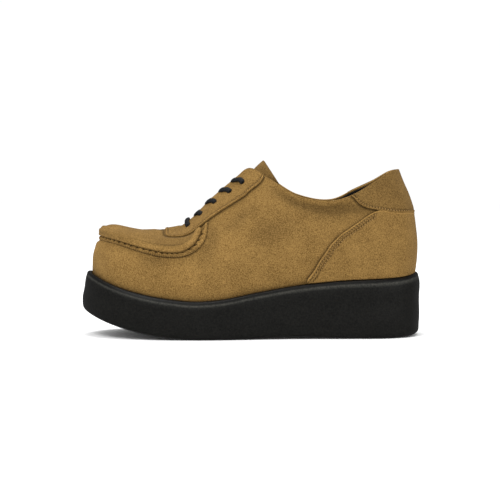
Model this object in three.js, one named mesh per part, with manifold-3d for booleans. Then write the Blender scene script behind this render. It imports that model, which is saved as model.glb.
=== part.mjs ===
// Left platform moccasin: a suede lace-up upper with a raised apron seam, on one thick block sole.
// Millimetres, +Z up. The toe points along -X, the outer side of the foot faces -Y.
// The origin is on the floor, under the middle of the shoe's box.
import * as THREE from "three";
import { mergeVertices } from "three/addons/utils/BufferGeometryUtils.js";
import Module from "manifold-3d";

const wasm = await Module();
wasm.setup();

// Driving sizes of the last and the sole
const SHOE_LENGTH = 262.5;
const BALL_WIDTH = 101;
const HEEL_WIDTH = 74;
const INSTEP_HEIGHT = 129;
const COLLAR_HEIGHT = 128.6;
const PLATFORM_HEIGHT = 45.6;
const TOE_SPRING = 20;
const WAIST_ARCH = 1.1;
const HEEL_BEVEL = 1.6;

// Sizes of the sole's rim and edges
const RIM_LEDGE = 4.5;
const RIM_ROUND = 3.4;
const SIDE_FLARE = 1;
const TOE_FLARE = 2.4;
const EDGE_ROUND = 4;
const EDGE_BAND = 8;
const SIDE_MIDDLE = 0.55;
const SEAT_DEPTH = 3;

// Sizes of the pieces that sit on the last
const GAP = 0.3;
const LAYER_GAP = 0.6;
const LACE_GAP = 0.5;
const WALL = 2;
const INSOLE_THICKNESS = 4;
const INSOLE_PLAY = 0.2;
const APRON_THICKNESS = 1.4;
const APRON_ROLL = 1;
const ROLL_PLACE = 0.06;
const ROLL_WIDTH = 0.07;
const TOE_PUCKER = 1.8;
const PUCKER_PLACE = 0.33;
const PUCKER_WIDTH = 0.16;
const PUCKER_SECTIONS = 1.2;
const SEAM_HEIGHT = 1.7;
const SEAM_EDGE = 0.35;
const SEAM_TOE_DROP = 0.4;
const SEAM_TOE_SECTIONS = 1.5;
const EYESTAY_THICKNESS = 1.5;
const COUNTER_THICKNESS = 1.3;
const COUNTER_OVER_RIM = 1.1;
const TAB_THICKNESS = 1.8;
const TONGUE_THICKNESS = 3;
const TONGUE_WIDTH = 36;
const LACE_DIAMETER = 3.4;
const EYELET_DIAMETER = 4.6;

// Sections of the last from the back of the heel to the tip of the toe. Each is a rib that stands on
// the feather line, where the upper meets the sole, and ends at the opening's edge. "along" is a share
// of the length, "out" and "in" are shares of the width to the outer and the inner side, and "high"
// and "highIn" are shares of the height of the opening's edge on those two sides.
const HEEL_SECTIONS = [
  {
    name: "back",
    foot: { along: 0.481, out: 0, in: 0 },
    mouth: { along: 0.432, out: 0, in: 0, high: 1, highIn: 1 },
  },
  {
    name: "heel corner",
    foot: { along: 0.451, out: -0.318, in: 0.311 },
    mouth: { along: 0.411, out: -0.17, in: 0.168, high: 0.991, highIn: 0.988 },
  },
  {
    name: "heel side",
    foot: { along: 0.37, out: -0.453, in: 0.443 },
    mouth: { along: 0.37, out: -0.27, in: 0.265, high: 0.939, highIn: 0.935 },
  },
  {
    name: "collar",
    foot: { along: 0.312, out: -0.462, in: 0.44 },
    mouth: { along: 0.312, out: -0.322, in: 0.314, high: 0.865, highIn: 0.879 },
  },
  {
    name: "collar dip",
    foot: { along: 0.251, out: -0.466, in: 0.43 },
    mouth: { along: 0.251, out: -0.351, in: 0.338, high: 0.821, highIn: 0.821 },
  },
];
const FOREFOOT_SECTIONS = [
  {
    name: "waist",
    foot: { along: 0.145, out: -0.351, in: 0.299 },
    mouth: { along: 0.145, out: -0.248, in: 0.243, high: 0.84, highIn: 0.845 },
  },
  {
    name: "instep",
    foot: { along: 0.05, out: -0.381, in: 0.322 },
    mouth: { along: 0.05, out: -0.188, in: 0.198, high: 0.953, highIn: 0.957 },
  },
  {
    name: "throat corner",
    foot: { along: -0.006, out: -0.409, in: 0.356 },
    mouth: { along: -0.006, out: -0.104, in: 0.129, high: 0.998, highIn: 1 },
  },
  {
    name: "throat",
    foot: { along: -0.03, out: -0.422, in: 0.376 },
    mouth: { along: -0.03, out: -0.074, in: 0.104, high: 0.957, highIn: 0.959 },
  },
  {
    name: "lacing",
    foot: { along: -0.107, out: -0.453, in: 0.438 },
    mouth: { along: -0.107, out: -0.064, in: 0.092, high: 0.82, highIn: 0.822 },
  },
  {
    name: "ball",
    foot: { along: -0.187, out: -0.458, in: 0.47 },
    mouth: { along: -0.187, out: -0.055, in: 0.085, high: 0.664, highIn: 0.664 },
  },
  {
    name: "toe side",
    foot: { along: -0.312, out: -0.416, in: 0.46 },
    mouth: { along: -0.198, out: -0.042, in: 0.071, high: 0.648, highIn: 0.648 },
  },
  {
    name: "toe corner",
    foot: { along: -0.411, out: -0.282, in: 0.342 },
    mouth: { along: -0.202, out: -0.012, in: 0.043, high: 0.645, highIn: 0.645 },
  },
  {
    name: "tip",
    foot: { along: -0.469, out: 0.04, in: 0.04 },
    mouth: { along: -0.204, out: 0.015, in: 0.015, high: 0.645, highIn: 0.645 },
  },
];

// Ribs of the same sections, named by the same words. "spread" is how far out each level lies, from 0
// above the opening's edge to 1 above the feather line, and "rise" is how high it lies between them.
// The levels are the bulge, the wall, the apron seam's foot, the apron's edge, the shoulder and the top.
const RIBS = {
  back: {
    spread: [1.14, 1.18, 1.08, 0.94, 0.64, 0.3],
    rise: [0.146, 0.304, 0.467, 0.612, 0.757, 0.878],
  },
  "heel corner": {
    spread: [1.12, 1.14, 1.05, 0.9, 0.62, 0.28],
    rise: [0.15, 0.31, 0.47, 0.61, 0.752, 0.88],
  },
  "heel side": {
    spread: [1.08, 1.07, 0.96, 0.78, 0.53, 0.25],
    rise: [0.16, 0.327, 0.48, 0.614, 0.747, 0.881],
  },
  collar: {
    spread: [1.14, 1.15, 1.05, 0.84, 0.55, 0.25],
    rise: [0.165, 0.32, 0.47, 0.61, 0.74, 0.874],
  },
  "collar dip": {
    spread: [1.22, 1.28, 1.17, 0.92, 0.59, 0.25],
    rise: [0.169, 0.316, 0.464, 0.603, 0.735, 0.867],
  },
  waist: {
    spread: [1.26, 1.29, 1.16, 0.91, 0.58, 0.26],
    rise: [0.17, 0.327, 0.469, 0.611, 0.746, 0.878],
  },
  instep: {
    spread: [1.12, 1.1, 0.97, 0.79, 0.56, 0.3],
    rise: [0.157, 0.315, 0.472, 0.607, 0.742, 0.872],
  },
  "throat corner": {
    spread: [1.07, 1.03, 0.92, 0.77, 0.57, 0.32],
    rise: [0.145, 0.3, 0.452, 0.6, 0.738, 0.872],
  },
  throat: {
    spread: [1.05, 1.01, 0.9, 0.75, 0.55, 0.31],
    rise: [0.145, 0.305, 0.455, 0.604, 0.745, 0.88],
  },
  lacing: {
    spread: [1.03, 0.985, 0.87, 0.73, 0.55, 0.31],
    rise: [0.166, 0.344, 0.497, 0.637, 0.783, 0.91],
  },
  ball: {
    spread: [1.033, 0.992, 0.89, 0.805, 0.62, 0.35],
    rise: [0.198, 0.439, 0.608, 0.722, 0.808, 0.906],
  },
  "toe side": {
    spread: [1.02, 0.985, 0.885, 0.805, 0.65, 0.35],
    rise: [0.202, 0.445, 0.636, 0.74, 0.8, 0.862],
  },
  "toe corner": {
    spread: [1.01, 0.985, 0.888, 0.86, 0.775, 0.4],
    rise: [0.209, 0.488, 0.71, 0.855, 0.885, 0.895],
  },
  tip: {
    spread: [1, 0.978, 0.91, 0.878, 0.83, 0.48],
    rise: [0.207, 0.525, 0.7, 0.915, 0.976, 0.91],
  },
};

// Height of the sole's rim along the shoe, as shares of the length and of the height under the heel
const RIM_LINE = [
  { along: -0.48, high: 1.1 },
  { along: -0.434, high: 0.978 },
  { along: -0.381, high: 0.864 },
  { along: -0.305, high: 0.75 },
  { along: -0.229, high: 0.678 },
  { along: -0.16, high: 0.643 },
  { along: -0.084, high: 0.671 },
  { along: 0.019, high: 0.781 },
  { along: 0.152, high: 0.908 },
  { along: 0.267, high: 0.971 },
  { along: 0.381, high: 1 },
  { along: 0.45, high: 1.031 },
  { along: 0.495, high: 1.086 },
];
// Where the sole leaves the floor, as shares of the length
const TREAD = { springStart: -0.145, archStart: -0.045, archEnd: 0.32, bevelStart: 0.41 };

// Outlines of the layers on the upper, on the outer side; the inner side mirrors them. Each row is one
// cut across the piece: [section, level] of its one edge, then [section, level] of its other edge.
// Sections count from 0 at the back to 13 at the tip, levels from 0 at the feather line to 7 at the mouth.
const EYESTAY_CUTS = [
  { edge: [6.18, 6.82], mouth: [6.16, 6.97] },
  { edge: [6.63, 5.92], mouth: [6.55, 6.97] },
  { edge: [7.0, 5.55], mouth: [6.95, 6.97] },
  { edge: [8.05, 5.45], mouth: [8.0, 6.97] },
  { edge: [8.58, 5.4], mouth: [8.55, 6.97] },
  { edge: [9.12, 5.35], mouth: [9.1, 6.97] },
  { edge: [9.58, 5.4], mouth: [9.55, 6.97] },
  { edge: [10, 5.48], mouth: [10, 6.97] },
  { edge: [10.5, 5.66], mouth: [10.5, 6.97] },
  { edge: [11, 5.92], mouth: [11, 6.97] },
  { edge: [12, 6.42], mouth: [12, 6.97] },
  { edge: [13, 6.6], mouth: [13, 6.97] },
];
const APRON_CUTS = [
  { seam: [9.39, 4.98], stay: [9.5, 5.33] },
  { seam: [9.44, 4.68], stay: [9.62, 5.34] },
  { seam: [9.54, 4.34], stay: [9.74, 5.36] },
  { seam: [9.68, 4.02], stay: [9.88, 5.39] },
  { seam: [9.86, 3.78], stay: [10.05, 5.43] },
  { seam: [10.1, 3.52], stay: [10.25, 5.5] },
  { seam: [10.5, 3.42], stay: [10.55, 5.62] },
  { seam: [11, 3.53], stay: [11, 5.86] },
  { seam: [12, 3.61], stay: [12, 6.37] },
  { seam: [13, 3.63], stay: [13, 6.54] },
];
const SEAM_CUTS = [
  { foot: [9.17, 5.18], groove: [9.3, 5.2] },
  { foot: [9.19, 4.85], groove: [9.35, 4.98] },
  { foot: [9.22, 4.45], groove: [9.4, 4.65] },
  { foot: [9.28, 4.07], groove: [9.5, 4.29] },
  { foot: [9.4, 3.74], groove: [9.64, 3.97] },
  { foot: [9.57, 3.47], groove: [9.83, 3.73] },
  { foot: [9.76, 3.24], groove: [10.08, 3.51] },
  { foot: [10.05, 3], groove: [10.25, 3.41] },
  { foot: [10.5, 2.92], groove: [10.55, 3.37] },
  { foot: [11, 3], groove: [11, 3.48] },
  { foot: [12, 3.11], groove: [12, 3.56] },
  { foot: [13, 3.17], groove: [13, 3.58] },
];
const COUNTER_CUTS = [
  { edge: [4.8, 0.58], sole: 4.84 },
  { edge: [4.67, 0.95], sole: 4.62 },
  { edge: [4.48, 1.8], sole: 4.35 },
  { edge: [4.29, 2.57], sole: 4.05 },
  { edge: [4.12, 3.25], sole: 3.75 },
  { edge: [3.84, 3.79], sole: 3.4 },
  { edge: [3.43, 4.12], sole: 3.0 },
  { edge: [2.95, 4.4], sole: 2.6 },
  { edge: [2.54, 4.57], sole: 2.3 },
  { edge: [2.14, 4.61], sole: 2.0 },
  { edge: [1.85, 4.43], sole: 1.75 },
  { edge: [1.55, 4.16], sole: 1.5 },
  { edge: [1.25, 4], sole: 1.25 },
  { edge: [1, 3.93], sole: 1 },
  { edge: [0.5, 3.83], sole: 0.5 },
  { edge: [0, 3.77], sole: 0 },
];
const TAB_CUTS = [
  { edge: [3.27, 6.82], mouth: [3.3, 6.97] },
  { edge: [3.12, 6.5], mouth: [3.12, 6.97] },
  { edge: [2.93, 5.97], mouth: [2.93, 6.97] },
  { edge: [2.68, 5.48], mouth: [2.68, 6.97] },
  { edge: [2.38, 5.05], mouth: [2.4, 6.97] },
  { edge: [2.12, 4.77], mouth: [2.12, 6.97] },
  { edge: [1.85, 4.53], mouth: [1.85, 6.97] },
  { edge: [1.55, 4.26], mouth: [1.55, 6.97] },
  { edge: [1.25, 4.09], mouth: [1.25, 6.97] },
  { edge: [1, 4.02], mouth: [1, 6.97] },
  { edge: [0.5, 3.92], mouth: [0.5, 6.97] },
  { edge: [0, 3.86], mouth: [0, 6.97] },
];
// Where the eyelets are punched, from the lowest to the highest
const EYELETS = [
  { section: 9.9, level: 6.42 },
  { section: 9.42, level: 6.4 },
  { section: 8.91, level: 6.28 },
  { section: 8.35, level: 6.28 },
  { section: 7.48, level: 6.28 },
];
// Where each crossing strand passes over the throat's edge before it reaches its eyelet
const LACE_EDGE_SECTIONS = [9.64, 9.22, 8.72, 8.27];
// How far past an eyelet's level the lace comes to lie on the eyestay
const LACE_LANDING = 0.18;
// A crossing strand's way over the throat: "rise" is its share of the way up to where it passes the edge,
// "across" the share of the throat's width, and "high" its height in lace diameters
const LACE_RISE = { start: 0.35, inset: 0.15 };
const LACE_EDGE = { inset: 0.12, landing: 0.25 };
const LACE_ROUTE = [
  { rise: 0.5, across: 0.25, high: -0.7 },
  { rise: 0.68, across: 0.5, high: 0.1 },
  { rise: 0.85, across: 0.77, high: 1.1 },
];
// The tongue's crown from its front end to its top edge, as shares of the length and the instep height,
// and how far its sides drop below the crown, as a share of its width
const TONGUE_CROWN = [
  { along: -0.23, high: 0.575, drop: 0.16 },
  { along: -0.19, high: 0.59, drop: 0.26 },
  { along: -0.107, high: 0.745, drop: 0.4 },
  { along: -0.03, high: 0.9, drop: 0.44 },
  { along: 0.0, high: 0.974, drop: 0.46 },
  { along: 0.021, high: 1.02, drop: 0.48 },
  { along: 0.04, high: 1.054, drop: 0.5 },
];
const TONGUE_SHIFT = 0.008;

const TIP = HEEL_SECTIONS.length + FOREFOOT_SECTIONS.length - 1;
const ROUND = 2 * TIP;
const MOUTH_LEVEL = RIBS.tip.rise.length + 1;

// Smooth curves through points

// Slopes at each point of a curve, from the chords on its two sides; a closed curve wraps round.
function slopesOf(points, steps, closed) {
  const last = points.length - 1;
  const chord = (i) => points[(i + 1) % points.length].map((v, a) => (v - points[i][a]) / steps[i]);
  return points.map((_, i) => {
    const before = i > 0 ? i - 1 : last;
    if (closed || (i > 0 && i < last)) {
      const a = chord(before);
      const b = chord(i);
      const whole = steps[before] + steps[i];
      return a.map((v, k) => (v * steps[i] + b[k] * steps[before]) / whole);
    }
    const near = i === 0 ? 0 : last - 1;
    const far = i === 0 ? 1 : last - 2;
    const a = chord(near);
    const b = chord(far);
    const whole = steps[near] + steps[far];
    return a.map((v, k) => v + ((v - b[k]) * steps[near]) / whole);
  });
}

// Point at the share f of the way between two points with the slopes given.
function between(from, to, slopeFrom, slopeTo, step, f) {
  const f2 = f * f;
  const f3 = f2 * f;
  return from.map(
    (v, a) =>
      (2 * f3 - 3 * f2 + 1) * v +
      (f3 - 2 * f2 + f) * step * slopeFrom[a] +
      (3 * f2 - 2 * f3) * to[a] +
      (f3 - f2) * step * slopeTo[a],
  );
}

function distance(a, b) {
  return Math.hypot(...a.map((v, k) => v - b[k]));
}

// A curve whose position is counted in points: 2.5 is half way from the third point to the fourth.
function curveThrough(points, steps) {
  const slopes = slopesOf(points, steps, false);
  return (position) => {
    const i = Math.max(0, Math.min(Math.floor(position), points.length - 2));
    return between(points[i], points[i + 1], slopes[i], slopes[i + 1], steps[i], position - i);
  };
}

// The sole's rim and tread lines
const rimSteps = RIM_LINE.slice(1).map((row, i) => (row.along - RIM_LINE[i].along) * SHOE_LENGTH);
const rimCurve = curveThrough(RIM_LINE.map((row) => [row.high * PLATFORM_HEIGHT]), rimSteps);

// Height of the sole's rim over the floor at the place x.
function rimHeight(x) {
  const along = Math.max(RIM_LINE[0].along, Math.min(x / SHOE_LENGTH, RIM_LINE.at(-1).along));
  let i = 0;
  while (i < RIM_LINE.length - 2 && RIM_LINE[i + 1].along < along) i += 1;
  return rimCurve(i + (along - RIM_LINE[i].along) / (RIM_LINE[i + 1].along - RIM_LINE[i].along))[0];
}

// Height of the sole's underside: flat under the ball and the heel, sprung at the toe.
function treadHeight(x) {
  const along = x / SHOE_LENGTH;
  const half = 0.5;
  if (along < TREAD.springStart) {
    return TOE_SPRING * ((TREAD.springStart - along) / (half + TREAD.springStart)) ** 2;
  }
  if (along > TREAD.bevelStart) {
    return HEEL_BEVEL * ((along - TREAD.bevelStart) / (half - TREAD.bevelStart)) ** 2;
  }
  const arch = (along - TREAD.archStart) / (TREAD.archEnd - TREAD.archStart);
  return arch > 0 && arch < 1 ? WAIST_ARCH * Math.sin(Math.PI * arch) ** 2 : 0;
}

// The last: ribs, and the surface through them

// Points of one rib on one side of the shoe, from the feather line to the opening's edge.
function ribPoints(section, width, height, inner) {
  const side = inner ? "in" : "out";
  const high = inner ? section.mouth.highIn : section.mouth.high;
  const footX = section.foot.along * SHOE_LENGTH;
  const foot = [footX, section.foot[side] * width, rimHeight(footX) - SEAT_DEPTH + GAP];
  const mouth = [section.mouth.along * SHOE_LENGTH, section.mouth[side] * width, high * height];
  const { spread, rise } = RIBS[section.name];
  const levels = spread.map((out, k) => [
    mouth[0] + out * (foot[0] - mouth[0]),
    mouth[1] + out * (foot[1] - mouth[1]),
    foot[2] + rise[k] * (mouth[2] - foot[2]),
  ]);
  return [foot, ...levels, mouth];
}

// All ribs round the shoe: up the outer side from heel to tip, and back down the inner side.
function allRibs() {
  const outer = [
    ...HEEL_SECTIONS.map((s) => [s, HEEL_WIDTH, COLLAR_HEIGHT]),
    ...FOREFOOT_SECTIONS.map((s) => [s, BALL_WIDTH, INSTEP_HEIGHT]),
  ];
  const inner = outer.slice(1, -1).reverse();
  return [...outer.map((row) => ribPoints(...row, false)), ...inner.map((row) => ribPoints(...row, true))];
}

// One closed curve round the shoe through the ribs' points at each level.
const ribs = allRibs();
const levelCurves = ribs[0].map((_, level) => {
  const points = ribs.map((rib) => rib[level]);
  const steps = points.map((point, i) => distance(point, points[(i + 1) % points.length]));
  return { points, steps, slopes: slopesOf(points, steps, true) };
});

// Point of the last's surface at a section and a level.
function lastPoint(section, level) {
  const turn = ((section % ROUND) + ROUND) % ROUND;
  const i = Math.floor(turn);
  const next = (i + 1) % ROUND;
  const rib = levelCurves.map(({ points, steps, slopes }) =>
    between(points[i], points[next], slopes[i], slopes[next], steps[i], turn - i),
  );
  const steps = rib.slice(1).map((point, k) => distance(point, rib[k]));
  return curveThrough(rib, steps)(level);
}

// Point at a height over the last's surface, along its outward normal.
function skin(section, level, lift) {
  const step = 0.02;
  const low = Math.max(0, level - step);
  const high = Math.min(MOUTH_LEVEL, level + step);
  const round = new THREE.Vector3(...lastPoint(section + step, level));
  round.sub(new THREE.Vector3(...lastPoint(section - step, level)));
  const up = new THREE.Vector3(...lastPoint(section, high));
  up.sub(new THREE.Vector3(...lastPoint(section, low)));
  const normal = up.cross(round).normalize();
  return new THREE.Vector3(...lastPoint(section, level)).addScaledVector(normal, lift);
}

// Level at which a rib passes a height over the sole's rim.
function levelOverRim(section, over) {
  let low = 0;
  let high = 2;
  for (let i = 0; i < 20; i += 1) {
    const middle = (low + high) / 2;
    const [x, , z] = lastPoint(section, middle);
    if (z < rimHeight(x) + over) low = middle;
    else high = middle;
  }
  return low;
}

// Mesh building

function geometryOf(points, faces) {
  const geometry = new THREE.BufferGeometry();
  geometry.setAttribute("position", new THREE.Float32BufferAttribute(points.flatMap((p) => p.toArray()), 3));
  geometry.setIndex(faces.flat());
  geometry.computeVertexNormals();
  return geometry;
}

// Two triangles of the quad a-b-c-d.
function quad(a, b, c, d) {
  return [[a, b, c], [a, c, d]];
}

// A ring-shaped solid: each profile is a closed loop of points, and the last joins the first.
function ringSolid(profiles) {
  const count = profiles[0].length;
  const faces = [];
  profiles.forEach((_, i) => {
    const here = i * count;
    const there = ((i + 1) % profiles.length) * count;
    for (let k = 0; k < count; k += 1) {
      const next = (k + 1) % count;
      faces.push(...quad(here + k, here + next, there + next, there + k));
    }
  });
  return geometryOf(profiles.flat(), faces);
}

// A solid between stacked rings, closed below the first and above the last by bars across it.
function stackedSolid(rings) {
  const count = rings[0].length;
  const faces = [];
  for (let level = 0; level + 1 < rings.length; level += 1) {
    for (let i = 0; i < count; i += 1) {
      const next = (i + 1) % count;
      const here = level * count;
      faces.push(...quad(here + i, here + count + i, here + count + next, here + next));
    }
  }
  const top = (rings.length - 1) * count;
  for (let i = 0; i < count / 2; i += 1) {
    const a = i;
    const b = i + 1;
    const c = (count - i - 1) % count;
    const d = (count - i) % count;
    if (i > 0) faces.push([a, b, d], [top + a, top + d, top + b]);
    if (i + 1 < count / 2) faces.push([b, c, d], [top + b, top + d, top + c]);
  }
  return geometryOf(rings.flat(), faces);
}

// A plate with a top and an underside, both grids of rows of points, closed round its edge.
function plateSolid(top, under) {
  const rows = top.length;
  const columns = top[0].length;
  const size = rows * columns;
  const at = (i, k) => i * columns + k;
  const faces = [];
  for (let i = 0; i + 1 < rows; i += 1) {
    for (let k = 0; k + 1 < columns; k += 1) {
      faces.push(...quad(at(i, k), at(i, k + 1), at(i + 1, k + 1), at(i + 1, k)));
      faces.push(...quad(size + at(i, k), size + at(i + 1, k), size + at(i + 1, k + 1), size + at(i, k + 1)));
    }
  }
  const rim = [];
  for (let i = 0; i < rows; i += 1) rim.push(at(i, 0));
  for (let k = 1; k < columns; k += 1) rim.push(at(rows - 1, k));
  for (let i = rows - 2; i >= 0; i -= 1) rim.push(at(i, columns - 1));
  for (let k = columns - 2; k > 0; k -= 1) rim.push(at(0, k));
  rim.forEach((a, i) => {
    const b = rim[(i + 1) % rim.length];
    faces.push(...quad(a, b, size + b, size + a));
  });
  return geometryOf([...top.flat(), ...under.flat()], faces);
}

// Section numbers round the shoe, with the count of steps between each section and the next.
function sectionsRound(stepsPerSection) {
  const half = stepsPerSection.flatMap((steps, i) => Array.from({ length: steps }, (_, k) => i + k / steps));
  const other = half.slice(1).map((section) => ROUND - section).reverse();
  return [...half, TIP, ...other];
}

// Positions along a curve of points, with the count of steps between each point and the next.
function positionsAlong(stepsPerPoint) {
  const starts = stepsPerPoint.flatMap((steps, i) => Array.from({ length: steps }, (_, k) => i + k / steps));
  return [...starts, stepsPerPoint.length];
}

// A layer over the last between its two edges. Its cuts run up the outer side and are mirrored down the
// inner side. "thickness" gives the layer's height at a share of the way across and a section.
function layerSolid(firstEdge, secondEdge, { steps, across, thickness }) {
  const mirror = (edge) => {
    const centre = edge.at(-1)[0];
    return [...edge, ...edge.slice(0, -1).reverse().map(([s, level]) => [2 * centre - s, level])];
  };
  const spaced = (edge) => edge.slice(1).map((point, i) => distance(point, edge[i]));
  const first = mirror(firstEdge);
  const second = mirror(secondEdge);
  const firstCurve = curveThrough(first, spaced(first));
  const secondCurve = curveThrough(second, spaced(second));
  const place = (position, share, height) => {
    const a = firstCurve(position);
    const b = secondCurve(position);
    const section = a[0] + share * (b[0] - a[0]);
    const lift = LAYER_GAP + height(share, section);
    return skin(section, a[1] + share * (b[1] - a[1]), lift);
  };
  const rows = positionsAlong([...steps, ...steps.slice().reverse()]);
  const grid = (height) => rows.map((row) => across.map((share) => place(row, share, height)));
  return plateSolid(grid(thickness), grid(() => 0));
}

// Joining and cutting

function solidOf(geometry) {
  const bare = geometry.clone();
  bare.deleteAttribute("normal");
  bare.deleteAttribute("uv");
  const merged = mergeVertices(bare, 1e-4);
  const vertProperties = merged.attributes.position.array;
  const triVerts = new Uint32Array(merged.index.array);
  return new wasm.Manifold(new wasm.Mesh({ numProp: 3, vertProperties, triVerts }));
}

function geometryFrom(solid) {
  const mesh = solid.getMesh();
  const geometry = new THREE.BufferGeometry();
  geometry.setAttribute("position", new THREE.BufferAttribute(mesh.vertProperties, mesh.numProp));
  geometry.setIndex(new THREE.BufferAttribute(mesh.triVerts, 1));
  return geometry.toNonIndexed();
}

// The sub-parts

const UPPER_STEPS = [2, 3, 2, 2, 3, 3, 2, 1, 2, 3, 4, 4, 4];
const OUTER_LEVELS = [0, 0.6, 1.2, 1.9, 2.5, 3, 3.25, 3.49, 3.67, 4, 4.4, 5, 5.5, 6, 6.5, 7];
const INNER_LEVELS = [7, 6.4, 5.6, 4.8, 4.1, 3.4, 2.3, 1.1, 0];

function upperGeometry() {
  const profiles = sectionsRound(UPPER_STEPS).map((section) => [
    ...OUTER_LEVELS.map((level) => skin(section, level, 0)),
    ...INNER_LEVELS.map((level) => skin(section, level, -WALL)),
  ]);
  return ringSolid(profiles);
}

const SOLE_STEPS = [3, 3, 2, 2, 3, 3, 2, 1, 2, 3, 4, 4, 5];

// Outward direction in plan of the feather line.
function planNormal(section) {
  const step = 0.05;
  const [ax, ay] = lastPoint(section - step, 0);
  const [bx, by] = lastPoint(section + step, 0);
  return new THREE.Vector2(ay - by, bx - ax).normalize();
}

// Point of the sole: out from the upper's foot by "out", at a height given by the point's own x.
function solePoint(section, level, out, height) {
  const [x, y] = lastPoint(section, level);
  const normal = planNormal(section);
  const px = x + normal.x * out;
  return new THREE.Vector3(px, y + normal.y * out, height(px));
}

function soleGeometry() {
  const round = 1 - Math.SQRT1_2;
  const flare = (section) => SIDE_FLARE + TOE_FLARE * Math.max(0, -planNormal(section).x) ** 2;
  const side = (section) => RIM_LEDGE + flare(section);
  const sideMiddle = (x) => treadHeight(x) + SIDE_MIDDLE * (rimHeight(x) - treadHeight(x));
  const rings = [
    (s) => [0, side(s) - EDGE_ROUND, treadHeight],
    (s) => [0, side(s) - EDGE_ROUND * round, (x) => treadHeight(x) + EDGE_ROUND * round],
    (s) => [0, side(s), (x) => treadHeight(x) + EDGE_BAND],
    (s) => [1, RIM_LEDGE + flare(s) * SIDE_MIDDLE, sideMiddle],
    () => [1, RIM_LEDGE, (x) => rimHeight(x) - RIM_ROUND],
    () => [1, RIM_LEDGE - RIM_ROUND * round, (x) => rimHeight(x) - RIM_ROUND * round],
    () => [1, RIM_LEDGE - RIM_ROUND, rimHeight],
    () => [1, GAP, rimHeight],
    () => [0, GAP, (x) => rimHeight(x) - SEAT_DEPTH],
  ];
  const sections = sectionsRound(SOLE_STEPS);
  const rimLevels = sections.map((section) => levelOverRim(section, 0));
  const points = rings.map((ring) =>
    sections.map((section, i) => {
      const [atRim, out, height] = ring(section);
      return solePoint(section, atRim ? rimLevels[i] : 0, out, height);
    }),
  );
  return stackedSolid(points);
}

function insoleGeometry() {
  const inset = -(WALL + GAP + INSOLE_PLAY);
  const floor = (x) => rimHeight(x) - SEAT_DEPTH + GAP;
  const top = (x) => floor(x) + INSOLE_THICKNESS;
  const sections = sectionsRound(SOLE_STEPS);
  const ring = (height) => sections.map((section) => solePoint(section, 0, inset, height));
  return stackedSolid([ring(floor), ring(top)]);
}

function bump(value, middle, width) {
  return Math.exp(-(((value - middle) / width) ** 2));
}

function apronGeometry() {
  const roll = (share) => APRON_ROLL * bump(share, ROLL_PLACE, ROLL_WIDTH);
  const pucker = (share, section) =>
    TOE_PUCKER * bump(share, PUCKER_PLACE, PUCKER_WIDTH) * bump(section, TIP, PUCKER_SECTIONS);
  return layerSolid(APRON_CUTS.map((cut) => cut.seam), APRON_CUTS.map((cut) => cut.stay), {
    steps: [1, 1, 1, 1, 1, 1, 2, 4, 4],
    across: [0, ROLL_PLACE, 0.17, 0.3, 0.5, 0.67, 0.83, 1],
    thickness: (share, section) => APRON_THICKNESS + roll(share) + pucker(share, section),
  });
}

function seamGeometry() {
  return layerSolid(SEAM_CUTS.map((cut) => cut.foot), SEAM_CUTS.map((cut) => cut.groove), {
    steps: [1, 1, 1, 1, 1, 1, 1, 2, 2, 4, 4],
    across: [0, 0.2, 0.5, 0.8, 1],
    thickness: (share, section) => {
      const lobe = SEAM_EDGE + (1 - SEAM_EDGE) * Math.sin(Math.PI * share);
      return SEAM_HEIGHT * lobe * (1 - SEAM_TOE_DROP * bump(section, TIP, SEAM_TOE_SECTIONS));
    },
  });
}

function eyestayGeometry() {
  return layerSolid(EYESTAY_CUTS.map((cut) => cut.edge), EYESTAY_CUTS.map((cut) => cut.mouth), {
    steps: [1, 1, 1, 1, 1, 1, 2, 2, 2, 2, 2],
    across: [0, 0.25, 0.5, 0.75, 1],
    thickness: () => EYESTAY_THICKNESS,
  });
}

function counterGeometry() {
  const bottom = COUNTER_CUTS.map(({ sole }) => [sole, levelOverRim(sole, COUNTER_OVER_RIM)]);
  return layerSolid(COUNTER_CUTS.map((cut) => cut.edge), bottom, {
    steps: COUNTER_CUTS.slice(1).map(() => 1),
    across: [0, 0.2, 0.4, 0.6, 0.8, 1],
    thickness: () => COUNTER_THICKNESS,
  });
}

function tabGeometry() {
  return layerSolid(TAB_CUTS.map((cut) => cut.mouth), TAB_CUTS.map((cut) => cut.edge), {
    steps: TAB_CUTS.slice(1).map(() => 1),
    across: [0, 0.33, 0.67, 1],
    thickness: () => TAB_THICKNESS,
  });
}

// The tongue is an arched strip: its crown follows the throat, its sides drop away from it.
function tongueGeometry() {
  const points = TONGUE_CROWN.map((row) => [
    row.along * SHOE_LENGTH,
    row.high * INSTEP_HEIGHT,
    row.drop * TONGUE_WIDTH,
  ]);
  const crown = curveThrough(points, points.slice(1).map((point, i) => distance(point, points[i])));
  const rows = positionsAlong(points.slice(1).map(() => 2));
  const arcs = 8;
  const columns = Array.from({ length: arcs + 1 }, (_, k) => (Math.PI * (arcs / 2 - k)) / arcs);
  const place = (row, turn, inset) => {
    const step = 0.05;
    const [x, z, drop] = crown(row);
    const [ax, az] = crown(row - step);
    const [bx, bz] = crown(row + step);
    const along = new THREE.Vector3(bx - ax, 0, bz - az).normalize();
    const down = new THREE.Vector3(along.z, 0, -along.x);
    const depth = inset + (drop - inset) * (1 - Math.cos(turn));
    const y = TONGUE_SHIFT * BALL_WIDTH + (TONGUE_WIDTH / 2 - inset) * Math.sin(turn);
    return new THREE.Vector3(x, y, z).addScaledVector(down, depth);
  };
  const grid = (inset) => rows.map((row) => columns.map((turn) => place(row, turn, inset)));
  return plateSolid(grid(0), grid(TONGUE_THICKNESS));
}

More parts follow.
